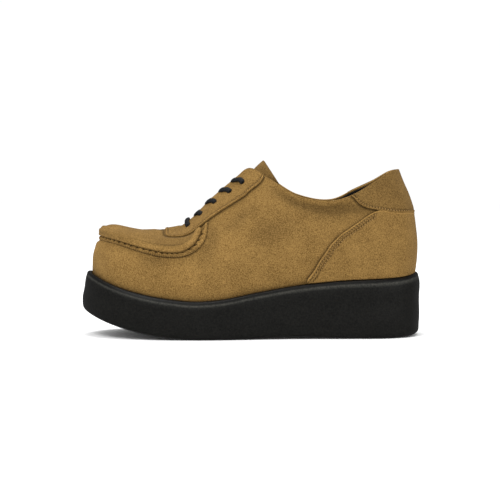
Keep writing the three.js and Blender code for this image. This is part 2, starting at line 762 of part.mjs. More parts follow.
// Punches the eyelets through a layer that lies along the throat.
function withEyelets(geometry) {
  const sides = 8;
  const reach = 2 * (WALL + LAYER_GAP + EYESTAY_THICKNESS);
  const up = new THREE.Vector3(0, 1, 0);
  let solid = solidOf(geometry);
  const inner = EYELETS.map(({ section, level }) => ({ section: ROUND - section, level }));
  for (const { section, level } of [...EYELETS, ...inner]) {
    const centre = skin(section, level, 0);
    const outward = skin(section, level, 1).sub(centre);
    const punch = new THREE.CylinderGeometry(EYELET_DIAMETER / 2, EYELET_DIAMETER / 2, 2 * reach, sides);
    punch.applyQuaternion(new THREE.Quaternion().setFromUnitVectors(up, outward));
    punch.translate(centre.x, centre.y, centre.z);
    solid = solid.subtract(solidOf(punch));
  }
  return geometryFrom(solid);
}

// A round cord along a smooth curve through the points given.
function cordGeometry(points) {
  const sides = 7;
  const steps = 11;
  const section = new THREE.Shape();
  for (let i = 0; i < sides; i += 1) {
    const angle = (2 * Math.PI * i) / sides;
    const place = [(Math.cos(angle) * LACE_DIAMETER) / 2, (Math.sin(angle) * LACE_DIAMETER) / 2];
    if (i === 0) section.moveTo(...place);
    else section.lineTo(...place);
  }
  const path = new THREE.CatmullRomCurve3(points, false, "centripetal");
  return new THREE.ExtrudeGeometry(section, { steps, extrudePath: path, bevelEnabled: false });
}

// Height of a lace's middle when it lies on the eyestay.
const LACE_OVER = LAYER_GAP + EYESTAY_THICKNESS + LACE_GAP + LACE_DIAMETER / 2;
// Depth of a lace's middle when it lies under the upper.
const LACE_UNDER = WALL + LACE_GAP + LACE_DIAMETER / 2;

// Point in the throat between its two edges: "share" of the way from the near edge to the far one.
function throatPoint(near, share, height) {
  const far = ROUND - near;
  const place = skin(near, MOUTH_LEVEL, 0).lerp(skin(far, MOUTH_LEVEL, 0), share);
  const up = skin(near, MOUTH_LEVEL, 1).add(skin(far, MOUTH_LEVEL, 1));
  up.sub(skin(near, MOUTH_LEVEL, 0)).sub(skin(far, MOUTH_LEVEL, 0)).setY(0).normalize();
  return place.addScaledVector(up, height);
}

// A lace's way down into an eyelet, from above it.
function intoEyelet(section, level) {
  return [
    skin(section, level, LACE_OVER - LACE_GAP - LACE_DIAMETER / 4),
    skin(section, level, LAYER_GAP),
  ];
}

// The straight bar of lace between the first pair of eyelets.
function laceBarGeometry() {
  const [{ section, level }] = EYELETS;
  const way = (s) => [
    skin(s, MOUTH_LEVEL - LACE_EDGE.inset, LACE_OVER),
    skin(s, level + LACE_LANDING, LACE_OVER),
    ...intoEyelet(s, level),
  ];
  const middle = throatPoint(section, 0.5, LACE_OVER);
  return cordGeometry([...way(section).reverse(), middle, ...way(ROUND - section)]);
}

// Two strands that cross in the throat: each comes up from under one edge, passes over the other edge
// and goes down into the next eyelet.
function laceCrossGeometry(row) {
  const from = EYELETS[row].section;
  const over = LACE_EDGE_SECTIONS[row];
  const { section: to, level } = EYELETS[row + 1];
  const rising = (share) => from + share * (over - from);
  const strand = (mirrored) => {
    const near = (section) => (mirrored ? ROUND - section : section);
    const far = (section) => ROUND - near(section);
    const crossing = LACE_ROUTE.map(({ rise, across, high }) =>
      throatPoint(near(rising(rise)), across, high * LACE_DIAMETER),
    );
    return cordGeometry([
      skin(near(rising(LACE_RISE.start)), MOUTH_LEVEL - LACE_RISE.inset, -LACE_UNDER),
      ...crossing,
      skin(far(over), MOUTH_LEVEL - LACE_EDGE.inset, LACE_OVER),
      skin(far(to + LACE_EDGE.landing * (over - to)), level + LACE_LANDING, LACE_OVER),
      ...intoEyelet(far(to), level),
    ]);
  };
  return geometryFrom(solidOf(strand(false)).add(solidOf(strand(true))));
}

const SUEDE = { color: 0x8f6c3e, roughness: 0.95, metalness: 0 };
const RUBBER = { color: 0x232323, roughness: 0.5, metalness: 0 };
const LACE = { color: 0x1c1c1d, roughness: 0.85, metalness: 0 };
const LINING = { color: 0x1b1a1a, roughness: 0.9, metalness: 0 };

const pieces = [
  ["sole", soleGeometry(), RUBBER],
  ["upper", withEyelets(upperGeometry()), SUEDE],
  ["insole", insoleGeometry(), LINING],
  ["apron", apronGeometry(), SUEDE],
  ["apron_seam", seamGeometry(), SUEDE],
  ["eyestay", withEyelets(eyestayGeometry()), SUEDE],
  ["counter", counterGeometry(), SUEDE],
  ["collar_tab", tabGeometry(), SUEDE],
  ["tongue", tongueGeometry(), SUEDE],
  ["lace_bar", laceBarGeometry(), LACE],
  ...EYELETS.slice(1).map((_, row) => [`lace_cross_${row + 1}`, laceCrossGeometry(row), LACE]),
];

const shoe = new THREE.Group();
for (const [name, geometry, finish] of pieces) {
  const mesh = new THREE.Mesh(geometry, new THREE.MeshStandardMaterial(finish));
  mesh.name = name;
  shoe.add(mesh);
}

// The origin goes under the middle of the sole.
const box = new THREE.Box3().setFromObject(shoe.getObjectByName("sole"));
shoe.position.set(-(box.min.x + box.max.x) / 2, -(box.min.y + box.max.y) / 2, -box.min.z);

export default shoe;
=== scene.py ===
"""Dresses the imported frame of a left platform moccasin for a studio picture.

The suede upper and its layers are drawn again on the frame's own last, finer than the solids: soft
troughs and ridges, a whipped apron seam with its holes, stitch rows, a black lining, one woven lace
through the eyelets and a rubber block with a rounded rim. Lengths are metres.
"""

from __future__ import annotations

import logging
import math
from collections.abc import Callable
from dataclasses import dataclass
from enum import Enum
from functools import cached_property

import bpy
import numpy as np
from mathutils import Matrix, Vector
from mathutils.kdtree import KDTree

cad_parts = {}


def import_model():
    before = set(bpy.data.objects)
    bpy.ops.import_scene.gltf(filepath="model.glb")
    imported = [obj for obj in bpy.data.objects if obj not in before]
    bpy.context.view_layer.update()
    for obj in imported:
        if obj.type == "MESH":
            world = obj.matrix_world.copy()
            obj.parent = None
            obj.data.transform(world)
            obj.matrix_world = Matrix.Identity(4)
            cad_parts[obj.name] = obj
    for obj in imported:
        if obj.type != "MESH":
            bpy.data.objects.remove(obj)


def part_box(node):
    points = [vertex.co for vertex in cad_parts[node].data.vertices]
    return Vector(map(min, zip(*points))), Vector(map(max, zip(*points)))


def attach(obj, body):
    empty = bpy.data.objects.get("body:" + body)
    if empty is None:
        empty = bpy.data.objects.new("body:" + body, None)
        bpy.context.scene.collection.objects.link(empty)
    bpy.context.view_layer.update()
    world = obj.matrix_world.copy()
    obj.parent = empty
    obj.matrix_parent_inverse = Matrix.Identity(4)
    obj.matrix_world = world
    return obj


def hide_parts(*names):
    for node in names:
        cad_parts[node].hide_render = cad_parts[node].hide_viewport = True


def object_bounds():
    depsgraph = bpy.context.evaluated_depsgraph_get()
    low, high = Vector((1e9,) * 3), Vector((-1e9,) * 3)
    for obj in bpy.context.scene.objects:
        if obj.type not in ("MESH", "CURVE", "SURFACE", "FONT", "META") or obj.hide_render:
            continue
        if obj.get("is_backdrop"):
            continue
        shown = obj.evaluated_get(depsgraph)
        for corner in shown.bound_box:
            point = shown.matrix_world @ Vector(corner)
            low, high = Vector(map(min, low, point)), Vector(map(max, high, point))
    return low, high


LOG = logging.getLogger("moccasin")

Array = np.ndarray
Cut = tuple[float, float]
Triple = tuple[float, float, float]
Profile = Callable[[Array], Array]
Material = bpy.types.Material
MeshObject = bpy.types.Object
Socket = bpy.types.NodeSocket
Tree = bpy.types.NodeTree

# Sizes that more than one sub-assembly follows, as in the part's source
SHOE_LENGTH = 0.2625
BALL_WIDTH = 0.101
INSTEP_HEIGHT = 0.129
SEAT_DEPTH = 0.003
GAP = 0.0003
WALL = 0.002
LAYER_GAP = 0.0006
EYESTAY_THICKNESS = 0.0015
HOLE_PITCH = 0.0054

FULL_TURN = 2 * np.pi
QUARTER_TURN = np.pi / 2
TINY = 1e-9


# The last and the layers as tables of shares, sections and levels


@dataclass(frozen=True)
class Section:
    """One rib of the last, as shares of the length, the width and the height of the opening's edge."""

    name: str  # What the rib is called on the shoe
    # Place along the shoe, and out to the outer and the inner side, of the rib's foot
    foot: Triple
    mouth: Triple  # The same of its upper end
    high: Cut  # Height of its upper end on the outer and the inner side
    spread: tuple[float, ...]  # How far out each level lies, from 0 above the mouth to 1 above the foot
    rise: tuple[float, ...]  # How high each level lies between the foot and the mouth


HEEL_SECTIONS = (
    Section(
        "back", (0.481, 0, 0), (0.432, 0, 0), (1, 1),
        (1.14, 1.18, 1.08, 0.94, 0.64, 0.3),
        (0.146, 0.304, 0.467, 0.612, 0.757, 0.878),
    ),
    Section(
        "heel corner", (0.451, -0.318, 0.311), (0.411, -0.17, 0.168), (0.991, 0.988),
        (1.12, 1.14, 1.05, 0.9, 0.62, 0.28),
        (0.15, 0.31, 0.47, 0.61, 0.752, 0.88),
    ),
    Section(
        "heel side", (0.37, -0.453, 0.443), (0.37, -0.27, 0.265), (0.939, 0.935),
        (1.08, 1.07, 0.96, 0.78, 0.53, 0.25),
        (0.16, 0.327, 0.48, 0.614, 0.747, 0.881),
    ),
    Section(
        "collar", (0.312, -0.462, 0.44), (0.312, -0.322, 0.314), (0.865, 0.879),
        (1.14, 1.15, 1.05, 0.84, 0.55, 0.25),
        (0.165, 0.32, 0.47, 0.61, 0.74, 0.874),
    ),
    Section(
        "collar dip", (0.251, -0.466, 0.43), (0.251, -0.351, 0.338), (0.821, 0.821),
        (1.22, 1.28, 1.17, 0.92, 0.59, 0.25),
        (0.169, 0.316, 0.464, 0.603, 0.735, 0.867),
    ),
)
FOREFOOT_SECTIONS = (
    Section(
        "waist", (0.145, -0.351, 0.299), (0.145, -0.248, 0.243), (0.84, 0.845),
        (1.26, 1.29, 1.16, 0.91, 0.58, 0.26),
        (0.17, 0.327, 0.469, 0.611, 0.746, 0.878),
    ),
    Section(
        "instep", (0.05, -0.381, 0.322), (0.05, -0.188, 0.198), (0.953, 0.957),
        (1.12, 1.1, 0.97, 0.79, 0.56, 0.3),
        (0.157, 0.315, 0.472, 0.607, 0.742, 0.872),
    ),
    Section(
        "throat corner", (-0.006, -0.409, 0.356), (-0.006, -0.104, 0.129), (0.998, 1),
        (1.07, 1.03, 0.92, 0.77, 0.57, 0.32),
        (0.145, 0.3, 0.452, 0.6, 0.738, 0.872),
    ),
    Section(
        "throat", (-0.03, -0.422, 0.376), (-0.03, -0.074, 0.104), (0.957, 0.959),
        (1.05, 1.01, 0.9, 0.75, 0.55, 0.31),
        (0.145, 0.305, 0.455, 0.604, 0.745, 0.88),
    ),
    Section(
        "lacing", (-0.107, -0.453, 0.438), (-0.107, -0.064, 0.092), (0.82, 0.822),
        (1.03, 0.985, 0.87, 0.73, 0.55, 0.31),
        (0.166, 0.344, 0.497, 0.637, 0.783, 0.91),
    ),
    Section(
        "ball", (-0.187, -0.458, 0.47), (-0.187, -0.055, 0.085), (0.664, 0.664),
        (1.033, 0.992, 0.89, 0.805, 0.62, 0.35),
        (0.198, 0.439, 0.608, 0.722, 0.808, 0.906),
    ),
    Section(
        "toe side", (-0.312, -0.416, 0.46), (-0.198, -0.042, 0.071), (0.648, 0.648),
        (1.02, 0.985, 0.885, 0.805, 0.65, 0.35),
        (0.202, 0.445, 0.636, 0.74, 0.8, 0.862),
    ),
    Section(
        "toe corner", (-0.411, -0.282, 0.342), (-0.202, -0.012, 0.043), (0.645, 0.645),
        (1.01, 0.985, 0.888, 0.86, 0.775, 0.4),
        (0.209, 0.488, 0.71, 0.855, 0.885, 0.895),
    ),
    Section(
        "tip", (-0.469, 0.04, 0.04), (-0.204, 0.015, 0.015), (0.645, 0.645),
        (1, 0.978, 0.91, 0.878, 0.83, 0.48),
        (0.207, 0.525, 0.7, 0.915, 0.976, 0.91),
    ),
)
TIP = len(HEEL_SECTIONS) + len(FOREFOOT_SECTIONS) - 1
ROUND = 2 * TIP
MOUTH_LEVEL = 7

# Height of the sole's rim: shares of the length, and of the height under the heel
RIM_LINE = (
    (-0.48, 1.1), (-0.434, 0.978), (-0.381, 0.864), (-0.305, 0.75), (-0.229, 0.678), (-0.16, 0.643),
    (-0.084, 0.671), (0.019, 0.781), (0.152, 0.908), (0.267, 0.971), (0.381, 1), (0.45, 1.031),
    (0.495, 1.086),
)

# Outlines of the layers: section and level of each cut's one edge, then of its other edge
EYESTAY_CUTS = (
    ((6.18, 6.82), (6.16, 6.97)), ((6.63, 5.92), (6.55, 6.97)), ((7.0, 5.55), (6.95, 6.97)),
    ((8.05, 5.45), (8.0, 6.97)), ((8.58, 5.4), (8.55, 6.97)), ((9.12, 5.35), (9.1, 6.97)),
    ((9.58, 5.4), (9.55, 6.97)), ((10, 5.48), (10, 6.97)), ((10.5, 5.66), (10.5, 6.97)),
    ((11, 5.94), (11, 6.97)), ((12, 6.45), (12, 6.97)), ((13, 6.63), (13, 6.97)),
)
APRON_CUTS = (
    ((9.39, 4.98), (9.5, 5.33)), ((9.44, 4.68), (9.62, 5.34)), ((9.54, 4.34), (9.74, 5.36)),
    ((9.68, 4.02), (9.88, 5.39)), ((9.86, 3.78), (10.05, 5.43)), ((10.1, 3.52), (10.25, 5.5)),
    ((10.5, 3.42), (10.55, 5.62)), ((11, 3.53), (11, 5.86)), ((12, 3.61), (12, 6.37)),
    ((13, 3.63), (13, 6.54)),
)
SEAM_CUTS = (
    ((9.17, 5.18), (9.3, 5.2)), ((9.19, 4.85), (9.35, 4.98)), ((9.22, 4.45), (9.4, 4.65)),
    ((9.28, 4.07), (9.5, 4.29)), ((9.4, 3.74), (9.64, 3.97)), ((9.57, 3.47), (9.83, 3.73)),
    ((9.76, 3.24), (10.08, 3.51)), ((10.05, 3), (10.25, 3.41)), ((10.5, 2.92), (10.55, 3.37)),
    ((11, 3), (11, 3.48)), ((12, 3.11), (12, 3.56)), ((13, 3.17), (13, 3.58)),
)
# The counter's edge, and the section where the same cut meets the sole
COUNTER_CUTS = (
    ((4.8, 0.58), 4.84), ((4.67, 0.95), 4.62), ((4.48, 1.8), 4.35), ((4.29, 2.57), 4.05),
    ((4.12, 3.25), 3.75), ((3.84, 3.79), 3.4), ((3.43, 4.12), 3.0), ((2.95, 4.4), 2.6),
    ((2.54, 4.57), 2.3), ((2.14, 4.61), 2.0), ((1.85, 4.43), 1.75), ((1.55, 4.16), 1.5),
    ((1.25, 4), 1.25), ((1, 3.93), 1), ((0.5, 3.83), 0.5), ((0, 3.77), 0),
)
TAB_CUTS = (
    ((3.27, 6.82), (3.3, 6.97)), ((3.12, 6.5), (3.12, 6.97)), ((2.93, 5.97), (2.93, 6.97)),
    ((2.68, 5.48), (2.68, 6.97)), ((2.38, 5.05), (2.4, 6.97)), ((2.12, 4.77), (2.12, 6.97)),
    ((1.85, 4.53), (1.85, 6.97)), ((1.55, 4.26), (1.55, 6.97)), ((1.25, 4.09), (1.25, 6.97)),
    ((1, 4.02), (1, 6.97)), ((0.5, 3.92), (0.5, 6.97)), ((0, 3.86), (0, 6.97)),
)
# Section and level of each eyelet, from the lowest to the highest
EYELETS = ((9.9, 6.42), (9.42, 6.4), (8.91, 6.28), (8.35, 6.28), (7.48, 6.28))
# The tongue's crown: shares of the length and the instep height, and its sides' drop
TONGUE_CROWN = (
    (-0.23, 0.575, 0.16), (-0.19, 0.59, 0.26), (-0.107, 0.745, 0.4), (-0.03, 0.9, 0.44),
    (0.0, 0.974, 0.46), (0.021, 1.02, 0.56), (0.04, 1.054, 0.62),
)


# Smooth curves through points


def slopes_open(points: Array, steps: Array) -> Array:
    """Works out the slopes of open curves from the chords on a point's two sides.

    Args:
        points: The points, with shape (curves, count, axes).
        steps: The parameter steps between them, with shape (curves, count - 1).

    Returns:
        The slopes, in the shape of the points.
    """
    gaps = steps[..., None]
    chords = np.diff(points, axis=1) / gaps
    whole = gaps[:, :-1] + gaps[:, 1:]
    middle = (chords[:, :-1] * gaps[:, 1:] + chords[:, 1:] * gaps[:, :-1]) / whole
    first = chords[:, 0] + (chords[:, 0] - chords[:, 1]) * gaps[:, 0] / whole[:, 0]
    last = chords[:, -1] + (chords[:, -1] - chords[:, -2]) * gaps[:, -1] / whole[:, -1]
    return np.concatenate([first[:, None], middle, last[:, None]], axis=1)


def slopes_closed(points: Array, steps: Array) -> Array:
    """Works out the slopes of closed curves, whose last point joins their first.

    Args:
        points: The points, with shape (count, curves, axes).
        steps: The parameter steps from each point to the next, with shape (count, curves).

    Returns:
        The slopes, in the shape of the points.
    """
    gaps = steps[..., None]
    chords = (np.roll(points, -1, axis=0) - points) / gaps
    before = np.roll(chords, 1, axis=0)
    gaps_before = np.roll(gaps, 1, axis=0)
    return (before * gaps + chords * gaps_before) / (gaps + gaps_before)


def between(start: Array, end: Array, slope_a: Array, slope_b: Array, step: Array, f: Array) -> Array:
    """Finds the points at the shares f of the way between pairs of points with known slopes.

    Args:
        start: The points where f is 0.
        end: The points where f is 1.
        slope_a: The slopes at the starts.
        slope_b: The slopes at the ends.
        step: The parameter steps between the pairs.
        f: The shares of the way.

    Returns:
        The points between, in the shape of the starts.
    """
    f2 = f * f
    f3 = f2 * f
    near = (2 * f3 - 3 * f2 + 1) * start + (f3 - 2 * f2 + f) * step * slope_a
    return near + (3 * f2 - 2 * f3) * end + (f3 - f2) * step * slope_b


class Curve:
    """A smooth curve whose position is counted in points: 2.5 is half way from the third to the fourth."""

    def __init__(self, points: Array, steps: Array | None = None) -> None:
        """Fits the curve.

        Args:
            points: The points, with shape (count, axes).
            steps: The parameter steps between the points; their distances if left out.
        """
        self.points = np.asarray(points, float)
        chords = np.linalg.norm(np.diff(self.points, axis=0), axis=1)
        self.steps = chords if steps is None else np.asarray(steps, float)
        self.slopes = slopes_open(self.points[None], self.steps[None])[0]

    def at(self, positions: Array) -> Array:
        """Evaluates the curve.

        Args:
            positions: Where, counted in points.

        Returns:
            The points of the curve, with shape (positions, axes).
        """
        positions = np.asarray(positions, float)
        i = np.clip(np.floor(positions).astype(int), 0, len(self.points) - 2)
        f = (positions - i)[..., None]
        step = self.steps[i][..., None]
        return between(
            self.points[i], self.points[i + 1], self.slopes[i], self.slopes[i + 1], step, f
        )


def unit(vectors: Array) -> Array:
    """Scales vectors, along the last axis, to a length of 1."""
    return vectors / np.linalg.norm(vectors, axis=-1, keepdims=True)


def run_length(line: Array) -> Array:
    """Measures how far each point of a line lies from its start, along the line."""
    return np.concatenate([[0], np.cumsum(np.linalg.norm(np.diff(line, axis=0), axis=1))])


# The sole's side view


@dataclass(frozen=True)
class Platform:
    """The sole's side view: the rim that the upper stands in, and the tread on the floor."""

    length: float = SHOE_LENGTH  # The shoe's length, which the places below are shares of
    height: float = 0.0456
    toe_spring: float = 0.020  # How far the tread lifts off the floor at the toe
    waist_arch: float = 0.0011  # The same between ball and heel
    heel_bevel: float = 0.0016  # The same at the back
    spring_start: float = -0.145
    arch: Cut = (-0.045, 0.32)  # Where the waist's arch starts and ends
    bevel_start: float = 0.41

    @cached_property
    def rim_curve(self) -> Curve:
        """Fits the line of the rim's heights."""
        heights = np.array([[row[1] * self.height] for row in RIM_LINE])
        return Curve(heights, np.diff([row[0] * self.length for row in RIM_LINE]))

    def rim(self, x: Array) -> Array:
        """Gives the height of the rim over the floor.

        Args:
            x: Places along the shoe.

        Returns:
            The heights there.
        """
        places = np.array([row[0] for row in RIM_LINE])
        along = np.clip(np.asarray(x) / self.length, places[0], places[-1])
        i = np.clip(np.searchsorted(places, along) - 1, 0, len(places) - 2)
        share = (along - places[i]) / (places[i + 1] - places[i])
        return self.rim_curve.at(i + share)[..., 0]

    def tread(self, x: Array) -> Array:
        """Gives the height of the underside: flat under ball and heel, sprung at the toe.

        Args:
            x: Places along the shoe.

        Returns:
            The heights there.
        """
        along = np.asarray(x) / self.length
        half = 0.5
        spring = np.clip((self.spring_start - along) / (half + self.spring_start), 0, None)
        bevel = np.clip((along - self.bevel_start) / (half - self.bevel_start), 0, None)
        arch = np.clip((along - self.arch[0]) / (self.arch[1] - self.arch[0]), 0, 1)
        arched = self.waist_arch * np.sin(np.pi * arch) ** 2
        return self.toe_spring * spring**2 + self.heel_bevel * bevel**2 + arched


PLATFORM = Platform()


# The last


@dataclass(frozen=True)
class Last:
    """The surface of the upper: ribs round the shoe, and smooth curves through them at each level."""

    length: float = SHOE_LENGTH
    ball_width: float = BALL_WIDTH  # Width that the forefoot's shares are of
    heel_width: float = 0.074  # Width that the heel's shares are of
    instep_height: float = INSTEP_HEIGHT  # Height that the forefoot's shares are of
    collar_height: float = 0.1286  # Height that the heel's shares are of
    # Distance to the neighbours that a normal is worked out from, in sections and levels
    step: float = 0.02

    @cached_property
    def points(self) -> Array:
        """Sets the ribs up the outer side from the heel to the tip and back down the inner side.

        Returns:
            The points, rib by rib and level by level.
        """
        outer = [(s, self.heel_width, self.collar_height) for s in HEEL_SECTIONS]
        outer += [(s, self.ball_width, self.instep_height) for s in FOREFOOT_SECTIONS]
        ribs = [self._rib(*row, side=0) for row in outer]
        return np.array(ribs + [self._rib(*row, side=1) for row in outer[-2:0:-1]])

    @cached_property
    def steps(self) -> Array:
        """Measures from each point to the same one of the next rib."""
        return np.linalg.norm(np.roll(self.points, -1, axis=0) - self.points, axis=2)

    @cached_property
    def slopes(self) -> Array:
        """Works out the slopes round the shoe."""
        return slopes_closed(self.points, self.steps)

    def _rib(self, section: Section, width: float, height: float, side: int) -> Array:
        """Places the points of one rib, from the feather line to the opening's edge.

        Args:
            section: The rib's shares.
            width: The width that its shares are of.
            height: The height that its shares are of.
            side: 0 for the outer side, 1 for the inner side.

        Returns:
            The points, one for each level.
        """
        foot_x = section.foot[0] * self.length
        foot_z = float(PLATFORM.rim(np.array(foot_x))) - SEAT_DEPTH + GAP
        foot = np.array([foot_x, section.foot[1 + side] * width, foot_z])
        mouth_x = section.mouth[0] * self.length
        mouth = np.array([mouth_x, section.mouth[1 + side] * width, section.high[side] * height])
        rows = [foot]
        for out, up in zip(section.spread, section.rise, strict=True):
            row = mouth + out * (foot - mouth)
            row[2] = foot[2] + up * (mouth[2] - foot[2])
            rows.append(row)
        return np.array([*rows, mouth])

    def point(self, sections: Array, levels: Array) -> Array:
        """Finds points of the surface.

        Args:
            sections: Section numbers, 0 at the back of the heel and 13 at the tip of the toe.
            levels: Levels, 0 at the feather line and 7 at the opening's edge.

        Returns:
            The points, as (..., 3).
        """
        sections, levels = np.broadcast_arrays(np.asarray(sections, float), levels)
        shape = sections.shape
        turn = np.mod(sections.ravel(), ROUND)
        i = np.floor(turn).astype(int) % ROUND
        k = (i + 1) % ROUND
        f = (turn - np.floor(turn))[:, None, None]
        step = self.steps[i][..., None]
        rib = between(self.points[i], self.points[k], self.slopes[i], self.slopes[k], step, f)
        gaps = np.linalg.norm(np.diff(rib, axis=1), axis=2)
        slopes = slopes_open(rib, gaps)
        level = levels.ravel().astype(float)
        low = np.clip(np.floor(level).astype(int), 0, MOUTH_LEVEL - 1)
        n = np.arange(len(level))
        share = (level - low)[:, None]
        gap = gaps[n, low][:, None]
        found = between(rib[n, low], rib[n, low + 1], slopes[n, low], slopes[n, low + 1], gap, share)
        return found.reshape(*shape, 3)

    def slants(self, sections: Array, levels: Array) -> tuple[Array, Array]:
        """Works out how the surface runs round the shoe and up it.

        Args:
            sections: Section numbers.
            levels: Levels.

        Returns:
            The way for one section and the way for one level, as (..., 3).
        """
        low = np.clip(levels - self.step, 0, None)
        high = np.clip(levels + self.step, None, MOUTH_LEVEL)
        ahead = self.point(sections + self.step, levels) - self.point(sections - self.step, levels)
        up = self.point(sections, high) - self.point(sections, low)
        return ahead / (2 * self.step), up / (high - low)[..., None]

    def normal(self, sections: Array, levels: Array) -> Array:
        """Finds the outward normals of the surface.

        Args:
            sections: Section numbers.
            levels: Levels.

        Returns:
            Unit vectors, as (..., 3).
        """
        sections, levels = np.broadcast_arrays(np.asarray(sections, float), levels)
        ahead, up = self.slants(sections, levels)
        return unit(np.cross(up, ahead))

    def skin(self, sections: Array, levels: Array, lift: Array | float) -> Array:
        """Finds points at a height over the surface, along its normal."""
        lift = np.broadcast_to(lift, np.broadcast_shapes(np.shape(sections), np.shape(levels)))
        return self.point(sections, levels) + self.normal(sections, levels) * lift[..., None]

    def inward(self, sections: Array, levels: Array, toward: Array, distance: Array) -> tuple[Array, Array]:
        """Moves places by distances along the surface.

        Args:
            sections: Section numbers.
            levels: Levels.
            toward: Unit vectors along the surface.
            distance: How far to move each place.

        Returns:
            The new sections and levels.
        """
        strides = 4
        share = distance / strides
        for _ in range(strides):
            ds, dl = self.slants(sections, levels)
            ss, ll, sl = (ds * ds).sum(-1), (dl * dl).sum(-1), (ds * dl).sum(-1)
            a, b = (ds * toward).sum(-1), (dl * toward).sum(-1)
            whole = ss * ll - sl * sl
            sections = sections + share * (a * ll - b * sl) / whole
            levels = levels + share * (b * ss - a * sl) / whole
        return sections, levels

    def level_over_rim(self, sections: Array, over: float) -> Array:
        """Finds the levels where ribs pass a height over the sole's rim.

        Args:
            sections: Section numbers.
            over: The height over the rim.

        Returns:
            One level for each section.
        """
        top_level, halvings = 2.0, 20
        low = np.zeros(np.shape(sections))
        high = np.full(np.shape(sections), top_level)
        for _ in range(halvings):
            middle = (low + high) / 2
            place = self.point(sections, middle)
            below = place[..., 2] < PLATFORM.rim(place[..., 0]) + over
            low = np.where(below, middle, low)
            high = np.where(below, high, middle)
        return low

    def plan_normal(self, sections: Array) -> Array:
        """Finds the outward direction, in plan, of the feather line.

        Args:
            sections: Section numbers.

        Returns:
            Unit vectors, with a last axis of two.
        """
        step = 0.05
        zero = np.zeros(np.shape(sections))
        a = self.point(sections - step, zero)
        b = self.point(sections + step, zero)
        return unit(np.stack([a[..., 1] - b[..., 1], b[..., 0] - a[..., 0]], -1))

    def spread_sections(self, count: int) -> Array:
        """Spaces sections round the shoe by their distance at two middle levels.

        Args:
            count: Number of sections.

        Returns:
            Section numbers from 0 up to 26, without the last.
        """
        low_level, high_level = 2.5, 6.0
        fine = np.linspace(0, ROUND, 2601)
        line = self.point(fine, np.full(len(fine), low_level))
        line += self.point(fine, np.full(len(fine), high_level))
        length = run_length(line)
        return np.interp(np.linspace(0, length[-1], count, endpoint=False), length, fine)


LAST = Last()


# Finishes


class Slot(Enum):
    """The record's material slots."""

    SUEDE = "suede"
    RUBBER = "sole_rubber"
    LINING = "lining"
    LACE = "lace"


class Sum(Enum):
    """What a node does with two numbers."""

    PLUS = "ADD"
    MINUS = "SUBTRACT"
    TIMES = "MULTIPLY"


@dataclass(frozen=True)
class Finish:
    """How one material looks."""

    name: str
    light: Triple  # The lighter of its two colours, linear
    dark: Triple  # The darker of its two colours, linear
    roughness: float
    specular: float  # How strongly it mirrors, as the shader's level
    sheen: float
    patch: float
    grain: float
    contrast: Cut  # How far the patches and the grain change its colour, in that order
    relief: float
    sheen_roughness: float = 0.5  # How widely its sheen spreads

    def material(self, group: Tree) -> Material:
        """Makes the material.

        Args:
            group: The node group of patches and grain.

        Returns:
            The new material.
        """
        material = bpy.data.materials.new(self.name)
        material.use_nodes = True
        nodes = Nodes(material.node_tree)
        shader = material.node_tree.nodes["Principled BSDF"]
        surface = nodes.add("ShaderNodeGroup", node_tree=group)
        own = {
            "Roughness": self.roughness,
            "Specular IOR Level": self.specular,
            "Sheen Weight": self.sheen,
            "Sheen Roughness": self.sheen_roughness,
            "Sheen Tint": (*self.light, 1),
        }
        mottle = {
            "Light": (*self.light, 1),
            "Dark": (*self.dark, 1),
            "Patch scale": 1 / self.patch,
            "Grain scale": 1 / self.grain,
            "Patch contrast": self.contrast[0],
            "Grain contrast": self.contrast[1],
            "Relief": self.relief,
        }
        for node, values in ((shader, own), (surface, mottle)):
            for name, value in values.items():
                node.inputs[name].default_value = value
        # Painted shading of each point: painted shade where positive, painted highlight where negative
        painted_shading = nodes.add("ShaderNodeAttribute", attribute_name="painted_shading")
        nodes.join(painted_shading.outputs["Fac"], surface.inputs["Painted shading"])
        nodes.join(surface.outputs["Colour"], shader.inputs["Base Color"])
        nodes.join(surface.outputs["Normal"], shader.inputs["Normal"])
        return material


SUEDE = Finish(
    "suede", light=(0.250, 0.147, 0.0445), dark=(0.106, 0.058, 0.0155), roughness=0.95, specular=0.1,
    sheen=0.12, patch=0.016, grain=0.0007, contrast=(0.8, 4.4), relief=0.0002,
)
THREAD = Finish(
    "thread", light=(0.32, 0.195, 0.072), dark=(0.17, 0.095, 0.03), roughness=0.9, specular=0.05, sheen=0,
    patch=0.01, grain=0.0004, contrast=(0.3, 0.6), relief=0.00003,
)
RUBBER = Finish(
    "rubber", light=(0.0105, 0.0102, 0.0085), dark=(0.0035, 0.0035, 0.003), roughness=0.45, specular=0.22,
    sheen=0, patch=0.03, grain=0.0012, contrast=(0.5, 3.0), relief=0.00012,
)
LINING = Finish(
    "lining", light=(0.014, 0.013, 0.013), dark=(0.004, 0.004, 0.004), roughness=0.9, specular=0.1,
    sheen=0.05, patch=0.02, grain=0.0008, contrast=(0.3, 1.0), relief=0.00012,
)
LACE_YARN = Finish(
    "lace", light=(0.018, 0.018, 0.019), dark=(0.004, 0.004, 0.004), roughness=0.7, specular=0.2,
    sheen=0.08, patch=0.01, grain=0.0005, contrast=(0.3, 0.8), relief=0.00005,
)

Paints = dict[Finish, Material]
Number = Socket | float

# The mottled surface, for all finishes
NOISE_LAYERS = 3
PATCH_ROUGHNESS = 0.6
GRAIN_ROUGHNESS = 0.65
# How far full painted shade darkens the colour
PAINTED_SHADING_STRENGTH = 0.8


